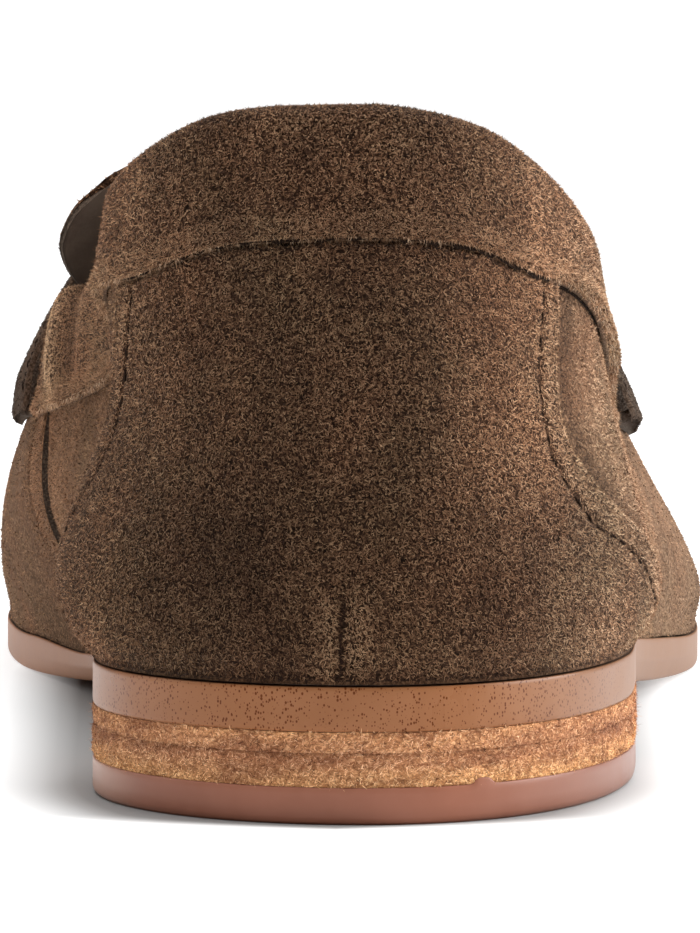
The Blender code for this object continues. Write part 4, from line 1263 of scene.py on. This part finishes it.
def level(z):
    return lambda plan: 0.0 * plan[..., 1] + z


def add_slab(name, stations, inset, low, high, side_rows, materials, node, relief=None):
    """Slab inside the outline: rings of points up its edge, its two faces made of strips across."""
    arcs = np.concatenate([arc_at(LATERAL, stations), arc_at(MEDIAL, stations)[-2:0:-1]])
    side_rows = [(share, inset + tuck) for share, tuck in side_rows]
    points = edge_rings(outline_point(arcs), outline_normal(arcs), low, high, side_rows, relief)
    count, last = len(arcs), len(side_rows) - 1
    faces = edge_faces(len(side_rows), count)
    kinds = [0] * len(faces)
    for i in range(count // 2):
        pair = list(dict.fromkeys([i, i + 1, (count - i - 1) % count, (count - i) % count]))
        faces.append([last * count + k for k in pair])
        faces.append(list(reversed(pair)))
        kinds += [1, 2]
    add_piece(name, np.concatenate(points), faces, materials, [node], kinds)


def make_outsole():
    straight = [(share, 0.0) for share in (0.14, 0.3, 0.42, 0.5, 0.58, 0.7, 0.9)]
    side_rows = ((0.0, 0.30), (0.02, 0.16), (0.06, 0.05), *straight, (0.97, 0.03), (0.992, 0.09), (1.0, 0.18))

    def relief(row, share):
        bevel = -0.8 * max(0.0, 0.5 - share) / 0.5 * window(row[:, 1], *WAIST_BEVEL_ENDS)
        return bevel + 0.06 * lump(row, 9.0, 21) + 0.03 * lump(row, 3.0, 22)

    add_slab("outsole_leather", heel_to_toe(60, 90, 50), 0.0, lambda plan: sole_bottom(plan[:, 1]),
             lambda plan: sole_top(plan[:, 1]) - waist_drop(plan[:, 0], plan[:, 1]), side_rows,
             [SOLE_EDGE, SOLE_TOP, SOLE_EDGE], "outsole", relief)


def make_insole():
    side_rows = ((0.0, 0.0), (0.4, 0.0), (0.75, 0.05), (0.92, 0.3), (1.0, 0.9))
    add_slab("insole_sock", heel_to_toe(40, 70, 40), SOLE_MARGIN + INSOLE_INSET,
             lambda plan: sole_top(plan[:, 1]) + GAP, lambda plan: sole_top(plan[:, 1]) + GAP + INSOLE_THICK,
             side_rows, [SOCK, SOCK, SOCK], "insole")


def heel_ring(count=420, breast_count=60):
    """Plan points and outward directions around a heel layer, the straight breast last."""
    tilt = math.radians(HEEL_AXIS_DEG)
    axis = np.array([math.sin(tilt), math.cos(tilt)])
    back = outline_point(0.0)
    ends = []
    for side in (MEDIAL, LATERAL):
        arcs = np.linspace(0.0, arc_at(side, 1.3 * HEEL_LENGTH), 400)
        ends.append(float(np.interp(HEEL_LENGTH, (outline_point(arcs) - back) @ axis, arcs)))
    arcs = np.linspace(*ends, count)
    plan, out = outline_point(arcs), outline_normal(arcs)
    share = np.linspace(0.0, 1.0, breast_count)[1:-1, None]
    breast = mix(plan[-1], plan[0], share)
    return np.concatenate([plan, breast]), np.concatenate([out, np.tile(axis, (len(breast), 1))])


def add_heel_layer(name, low, high, side_rows, relief, materials, node, top_shift=None):
    """One layer of the heel, from low to high; gives back the grid of its edge."""
    plan, out = heel_ring()
    count = len(plan)
    points = edge_rings(plan, out, low, high, side_rows, relief, top_shift)
    faces = edge_faces(len(side_rows), count)
    centre = plan.mean(axis=0)
    total = count * len(side_rows)
    caps = np.array([[*centre, low(centre)], [*centre, high(centre)]])
    for i in range(count):
        j = (i + 1) % count
        faces.append((total, j, i))
        faces.append((total + 1, total - count + i, total - count + j))
    add_piece(name, np.concatenate(points + [caps]), faces, materials, [node])
    return np.stack(points, axis=1)


def make_heel():
    lower_top = TOP_PIECE + LOWER_LIFT
    rough_rows = [(share, 0.0) for share in np.linspace(0.0, 1.0, 13)]
    rough_rows[0], rough_rows[-1] = (0.0, 0.06), (1.0, 0.06)

    def rough(row, share):
        edge = window(share, 0.0, 0.15, 0.85, 1.0)
        return edge * (0.16 * lump(row, 0.8, 31) + 0.14 * lump(row * np.array([1.0, 1.0, 2.2]), 2.6, 32)) - 0.12

    def smooth(row, share):
        return 0.05 * lump(row, 10.0, 33)

    def nick(row, out, share):
        """A short stretch where the rubber stands up over the leather above it."""
        place = (row[:, 0] - 15.3 + 0.3 * lump(row, 0.7, 34)) / 1.1
        rise = np.exp(-(place**4)) * (row[:, 1] < 20.0) * smoothstep(0.75, 1.0, share)
        return np.column_stack([out * 0.12 * rise[:, None], 0.75 * rise])

    rubber_rows = ((0.0, 0.6), (0.04, 0.35), (0.1, 0.12), (0.2, 0.0), (0.5, 0.0), (0.8, 0.0), (0.97, 0.01),
                   (1.0, 0.07))
    add_heel_layer("heel_top_piece_rubber", level(0.0), level(TOP_PIECE - 0.02), rubber_rows,
                   smooth, [RUBBER], "heel_top_piece", nick)
    lower = add_heel_layer("heel_lift_lower_leather", level(TOP_PIECE), level(lower_top - 0.05),
                           rough_rows, rough, [STACKED], "heel_lift_lower")
    upper = add_heel_layer("heel_lift_upper_leather", level(lower_top), lambda plan: sole_bottom(plan[..., 1]) - 0.02,
                           rough_rows, rough, [STACKED], "heel_lift_upper")
    add_nap("heel_lift_fibres", [(lower, 1.0, 0.0), (upper, 0.7, -0.05)], per_mm2=30.0, seed=41, length=(0.35, 0.9),
            width=(0.09, 0.18), comb=(0.1, 0.0, 0.1), stray=1.0, lift=(2.0, 22.0), material=LEATHER_NAP)


# Knot and tassels

def vamp_height(x, y):
    side = LATERAL if x > ridge_point(np.array(y))[0] else MEDIAL
    line = on_wall(wall_columns(arc_at(side, y)), np.linspace(RIDGE, 2.0, 60)[None, :])[0]
    order = np.argsort(line[:, 0])
    return float(np.interp(x, line[order, 0], line[order, 2]))


def vamp_normal(x, y, step=1.0):
    slope_x = vamp_height(x + step, y) - vamp_height(x - step, y)
    slope_y = vamp_height(x, y + step) - vamp_height(x, y - step)
    return unit(np.array([-slope_x, -slope_y, 2.0 * step]))


def over_vamp(plan, lift):
    return np.array([*plan, vamp_height(*plan)]) + vamp_normal(*plan) * lift


def tassel_axis(side):
    """Start, axis, sideways and upward directions of one tassel, seated on the vamp as its solid is."""
    splay = math.radians(TASSEL_SPLAY_DEG) * side
    start = np.array([ridge_point(np.array(TASSEL_START_Y))[0] + TASSEL_SPREAD * side, TASSEL_START_Y])
    end = start + TASSEL_LENGTH * 0.93 * np.array([math.sin(splay), math.cos(splay)])
    first, last = over_vamp(start, TASSEL_LIFT[0]), over_vamp(end, TASSEL_LIFT[1])
    axis = unit(last - first)
    across = unit(np.cross(axis, vamp_normal(*start)))
    lift = np.cross(across, axis)
    seats = []
    for row in TASSEL:
        for i in range(3 * TASSEL_STRIPS):
            turn = 2.0 * math.pi * i / (3 * TASSEL_STRIPS)
            radius = row.radius * (1.0 - TASSEL_STRIP_DEPTH * row.cut * (i % 3 == 0))
            off = radius * (math.cos(turn) * across + math.sin(turn) * lift)
            x, y, z = first + axis * row.along * TASSEL_LENGTH + off
            seats.append(z - vamp_height(x, y))
    first = first - np.array([0.0, 0.0, min(seats) - GAP / vamp_normal(*end)[2]])
    return first, axis, across, lift


def make_tassel(name, side, node, seed):
    """Cap and two layers of cut strips; gives back grids of the cap and of the skirt for the nap."""
    around, stem, skirt_start = 40, 8, 0.425
    first, axis, across, lift = tassel_axis(side)
    rng = np.random.default_rng(seed)
    radius_at = curve(TASSEL, "along", "radius")

    def place(along, radius, turn):
        ring = np.cos(turn)[..., None] * across + np.sin(turn)[..., None] * lift
        return first + axis * (np.asarray(along) * TASSEL_LENGTH)[..., None] + ring * np.asarray(radius)[..., None]

    along = np.concatenate([np.linspace(0.0, 0.15, stem), np.linspace(0.155, 0.445, 40)])
    radius = radius_at(along)
    for wrap in (0.20, 0.39):
        radius = radius - 0.32 * bell(along - wrap, 0.009)
    turn = 2.0 * math.pi * np.arange(around + 1) / around
    cap = place(along[:, None], radius[:, None], turn[None, :])
    points = [cap.reshape(-1, 3)]
    start = len(points[0])
    faces = quads(np.arange(start).reshape(cap.shape[:2])).tolist()
    kinds = [0] * len(faces)
    for layer, count, share, width in ((0, 21, 1.0, 1.36), (1, 13, 0.66, 1.4)):
        for k in range(count):
            length = rng.uniform(0.955, 1.0) if layer == 0 else rng.uniform(0.93, 0.985)
            reach = np.linspace(skirt_start, length, 12)
            middle = 2.0 * math.pi * (k + rng.uniform(-0.2, 0.2)) / count
            sway = middle + rng.normal(0.0, 0.06) * (reach - skirt_start) / 0.575
            ring = radius_at(reach) * share - 0.34
            corners = []
            for sideways, inward in ((-0.5, 0.0), (0.5, 0.0), (0.5, -0.45), (-0.5, -0.45)):
                size = width * (0.9 + 0.22 * (reach - skirt_start))
                curl = 0.16 * rng.normal() * np.sin(6.0 * reach)
                corners.append(place(reach, ring + inward + curl, sway + sideways * size / ring))
            strip = np.stack(corners, axis=1)
            points.append(strip.reshape(-1, 3))
            index = start + np.arange(strip.shape[0] * 4).reshape(-1, 4)
            start += index.size
            found = quads(closed(index)).tolist() + [index[0].tolist(), index[-1, ::-1].tolist()]
            faces += found
            kinds += [0] * (len(found) - 1) + [1]
    add_piece(name, np.concatenate(points), faces, [SUEDE, RAW_EDGE], [node], kinds)
    along = np.linspace(0.45, 0.96, 20)
    skirt = place(along[:, None], (radius_at(along) - 0.36)[:, None], turn[None, :])
    return cap[stem:, ::-1], skirt[:, ::-1]


def make_knot():
    """A folded bow with a wrap round its middle."""
    plan = np.array([ridge_point(np.array(KNOT_Y))[0], KNOT_Y])
    normal = vamp_normal(*plan)
    centre = over_vamp(plan, STRAP_LIFT[0] + STRAP_THICK + GAP + KNOT_SIZE[2] / 2.0)
    pitch = -math.atan2(normal[1], normal[2])
    c, s = math.cos(pitch), math.sin(pitch)
    turned = np.array([[1.0, 0.0, 0.0], [0.0, c, -s], [0.0, s, c]])
    half = np.array(KNOT_SIZE) / 2.0
    long = np.linspace(-1.0, 1.0, 61)
    turn = np.linspace(0.0, 2.0 * math.pi, 49)
    ends = np.sqrt(np.maximum(1.0 - np.abs(long) ** 7, 0.0))
    pinch = 0.80 + 0.20 * smoothstep(0.30, 0.75, np.abs(long))
    wrap = 0.17 * smoothstep(0.34, 0.28, np.abs(long))
    grooves = 0.05 * bell(np.abs(long) - 0.36, 0.035)
    size = ends * (pinch + wrap - grooves)
    blunt = 0.62
    cos, sin = np.cos(turn), np.sin(turn)
    y = np.sign(cos) * np.abs(cos) ** blunt * half[1]
    z = np.sign(sin) * np.abs(sin) ** blunt * half[2]
    grid = np.stack(np.broadcast_arrays(long[:, None] * half[0], size[:, None] * y, size[:, None] * z), axis=-1)
    grid = grid + 0.05 * lump(grid, 3.0, 14)[..., None]
    grid = grid @ turned.T + centre
    faces = quads(np.arange(grid[..., 0].size).reshape(grid.shape[:2])).tolist()
    add_piece("tassel_knot_suede", grid, faces, [SUEDE], ["tassel_knot"])
    return grid


# Fringes on cut edges

def add_fringe(name, lines, per_mm, seed, length=(0.45, 1.05), width=(0.05, 0.1), material=NAP):
    """Loose fibres along cut edges; each line has points, directions off the edge and normals."""
    rng = np.random.default_rng(seed)
    roots, tangents, normals = [], [], []
    for points, away, normal in lines:
        count = int(path_length(points) * per_mm)
        marks = rng.uniform(0.0, path_length(points), count)
        place, facing = along_path(points, normal, marks)
        _, off = along_path(points, away, marks)
        roots.append(place - facing * rng.uniform(0.0, 0.7, count)[:, None])
        tangents.append(unit(off * rng.uniform(0.4, 1.0, count)[:, None] + rng.normal(size=(count, 3)) * 0.55))
        normals.append(facing)
    root, tangent, normal = (np.concatenate(group) for group in (roots, tangents, normals))
    count = len(root)
    lengths, widths = rng.uniform(*length, count), rng.uniform(*width, count)
    add_fibres(name, root, normal, tangent, lengths, widths, rng.beta(2.4, 1.8, count), material)


# Build

upper_outer, upper_arcs = make_upper()
panel_outer, panel_shade = make_counter()
band_outer, band_rows = make_collar_band()
tongue_outer = make_tongue()
strap_outer = make_strap()
knot_outer = make_knot()
cap_lateral, skirt_lateral = make_tassel("tassel_lateral_suede", LATERAL, "tassel_lateral", 61)
cap_medial, skirt_medial = make_tassel("tassel_medial_suede", MEDIAL, "tassel_medial", 62)
make_outsole()
make_insole()
make_heel()

add_stitches("counter_panel_stitches", counter_stitch_paths(PANEL_FACE - 0.06),
             STITCH_PITCH, STITCH_LENGTH, radius=0.16, sink=0.0, holes=False)
add_stitches("collar_hem_stitches", [hem_path(HEM_STITCH_ENDS, PANEL_FACE - 0.55, 0.45)],
             pitch=3.1, length=1.5, radius=0.2, sink=0.4)
make_hem_shadow()
# Dark strips along the vamp's rear edge: painted shade at the foot of its step over the quarter.
seam_shade_strips = [(seam_path(side, -0.50, -0.42), seam_path(side, -0.22, 0.40)) for side in (MEDIAL, LATERAL)]
add_ribbon("vamp_seam_shade", seam_shade_strips, STRAP_EDGE)

upper_y, upper_z = upper_outer[..., 1], upper_outer[..., 2]
upper_arc = np.broadcast_to(upper_arcs[:, None], upper_y.shape)
past_panel = np.abs(upper_arc) - counter_reach(upper_z, upper_arc)
beyond_panel = past_panel > -1.5
under_hem = (upper_z < collar_height(upper_arc, hem=True) + 0.4) | (upper_y > BAND_END_Y)
ahead = past_seam(upper_outer)
off_seam = (ahead < -0.8) | (ahead > 0.2) | (upper_z > 44.0)
on_vamp = upper_y >= VAMP_NAP_Y
quarter_share = 1.0 * (beyond_panel & under_hem & off_seam & ~on_vamp)
# Painted shade in a hollow just past the panel's edge, deeper on the lateral side.
hollow_shade = by_side(upper_arc, -0.12, -0.36) * bell(past_panel - 4.0, 4.0)
add_nap("quarter_nap", [(upper_outer, quarter_share[:-1, :-1], hollow_shade)], per_mm2=20.5, seed=77)
add_nap("vamp_nap", [(upper_outer, 1.0 * on_vamp[:-1, :-1], 0.0)], per_mm2=3.0, seed=71)
add_nap("counter_panel_nap", [(panel_outer, 1.0, panel_shade)], per_mm2=29.0, seed=72, marks=dart_painted_shade)
band_share = np.ones(band_outer.shape[:2])
band_share[:, band_rows + 8:] = 0.15
# Painted light on the fold's ridge and painted shade in its trough.
fold_shade = band_fold(band_outer)
fold_shade = 0.22 * fold_shade + 0.16 * np.maximum(fold_shade, 0.0)
add_nap("collar_band_nap", [(band_outer, band_share[:-1, :-1], fold_shade)], per_mm2=27.0, seed=73)
# Lighter nap along the hem: the cut edge's paler fuzz, lightened further as painted light on the lip.
add_nap("collar_hem_nap", [(band_outer[:, :10], 1.0, 0.0)], per_mm2=18.0, seed=75, length=(0.3, 0.75),
        width=(0.11, 0.2), comb=(0.0, 0.0, -0.4), stray=1.0, lift=(8.0, 60.0), lighter=0.26)
front = (tongue_outer, knot_outer, cap_lateral, cap_medial, skirt_lateral, skirt_medial)
add_nap("front_nap", [(grid, 1.0, 0.0) for grid in front], per_mm2=9.0, seed=74)
add_nap("strap_nap", [(strap_outer, 1.0, 0.0)], per_mm2=9.0, seed=76, material=STRAP_NAP)

panel_facing, band_facing = grid_normals(panel_outer), grid_normals(band_outer)
add_fringe("collar_hem_fringe", [(band_outer[:, 2], unit(band_outer[:, 0] - band_outer[:, 6]), band_facing[:, 3])],
           per_mm=14.0, seed=82, length=(0.5, 1.15), width=(0.09, 0.16), material=HEM_FUZZ_AND_PAINTED_LIGHT)
add_fringe("cut_edge_fringe", [
    (panel_outer[0], unit(panel_outer[0] - panel_outer[6]), panel_facing[3]),
    (panel_outer[-1], unit(panel_outer[-1] - panel_outer[-7]), panel_facing[-4]),
    (panel_outer[:, -1], unit(panel_outer[:, -1] - panel_outer[:, -6]), panel_facing[:, -4]),
], per_mm=13.0, seed=81)


# Floor, light and camera

def add_floor(reach=90.0):
    mesh = bpy.data.meshes.new("floor")
    corners = [(x * reach, y * reach, 0.0) for x, y in ((-1, -1), (1, -1), (1, 1), (-1, 1))]
    mesh.from_pydata(corners, [], [(0, 1, 2, 3)])
    mesh.materials.append(floor_finish())
    floor = bpy.data.objects.new("floor", mesh)
    bpy.context.scene.collection.objects.link(floor)


def add_softbox(name, place, aim, size, power):
    light = bpy.data.lights.new(name, "AREA")
    light.shape = "RECTANGLE"
    light.size, light.size_y = size
    light.energy = power
    lamp = bpy.data.objects.new(name, light)
    lamp.location = place
    direction = unit(np.array(aim) - np.array(place))
    yaw = math.atan2(direction[1], direction[0]) - math.pi / 2.0
    pitch = math.acos(-direction[2])
    lamp.rotation_euler = (pitch, 0.0, yaw)
    lamp.visible_camera = False
    bpy.context.scene.collection.objects.link(lamp)


def add_world(colour, strength):
    world = bpy.data.worlds.new("studio")
    world.use_nodes = True
    background = world.node_tree.nodes["Background"]
    background.inputs["Color"].default_value = (*colour, 1.0)
    background.inputs["Strength"].default_value = strength
    bpy.context.scene.world = world


def add_camera(place=(0.0, -700.0, 97.0), pitch_deg=4.578, focal_px=6207.5, photo_px=933.0, sensor=36.0):
    """The photo's camera: its place in millimetres, its tilt down and its focal length in the photo's pixels."""
    camera = bpy.data.cameras.new("camera")
    camera.sensor_width = sensor
    camera.lens = focal_px * sensor / photo_px
    camera.clip_start, camera.clip_end = 0.05, 200.0
    holder = bpy.data.objects.new("camera", camera)
    holder.location = (np.array(place) + TO_FRAME) * MM
    holder.rotation_euler = (math.radians(90.0 - pitch_deg), 0.0, 0.0)
    bpy.context.scene.collection.objects.link(holder)
    bpy.context.scene.camera = holder


add_floor()
add_world((1.0, 1.0, 1.0), 0.23)
add_softbox("key_right", (0.80, -0.02, 0.42), (0.0, -0.08, 0.05), (0.7, 0.7), 11.0)
add_softbox("fill_left", (-0.80, -0.05, 0.45), (0.0, -0.08, 0.05), (0.7, 0.7), 1.5)
add_softbox("top", (0.0, 0.05, 1.3), (0.0, 0.0, 0.0), (1.1, 1.1), 26.0)
add_camera()
bpy.context.scene.view_settings.view_transform = "Standard"
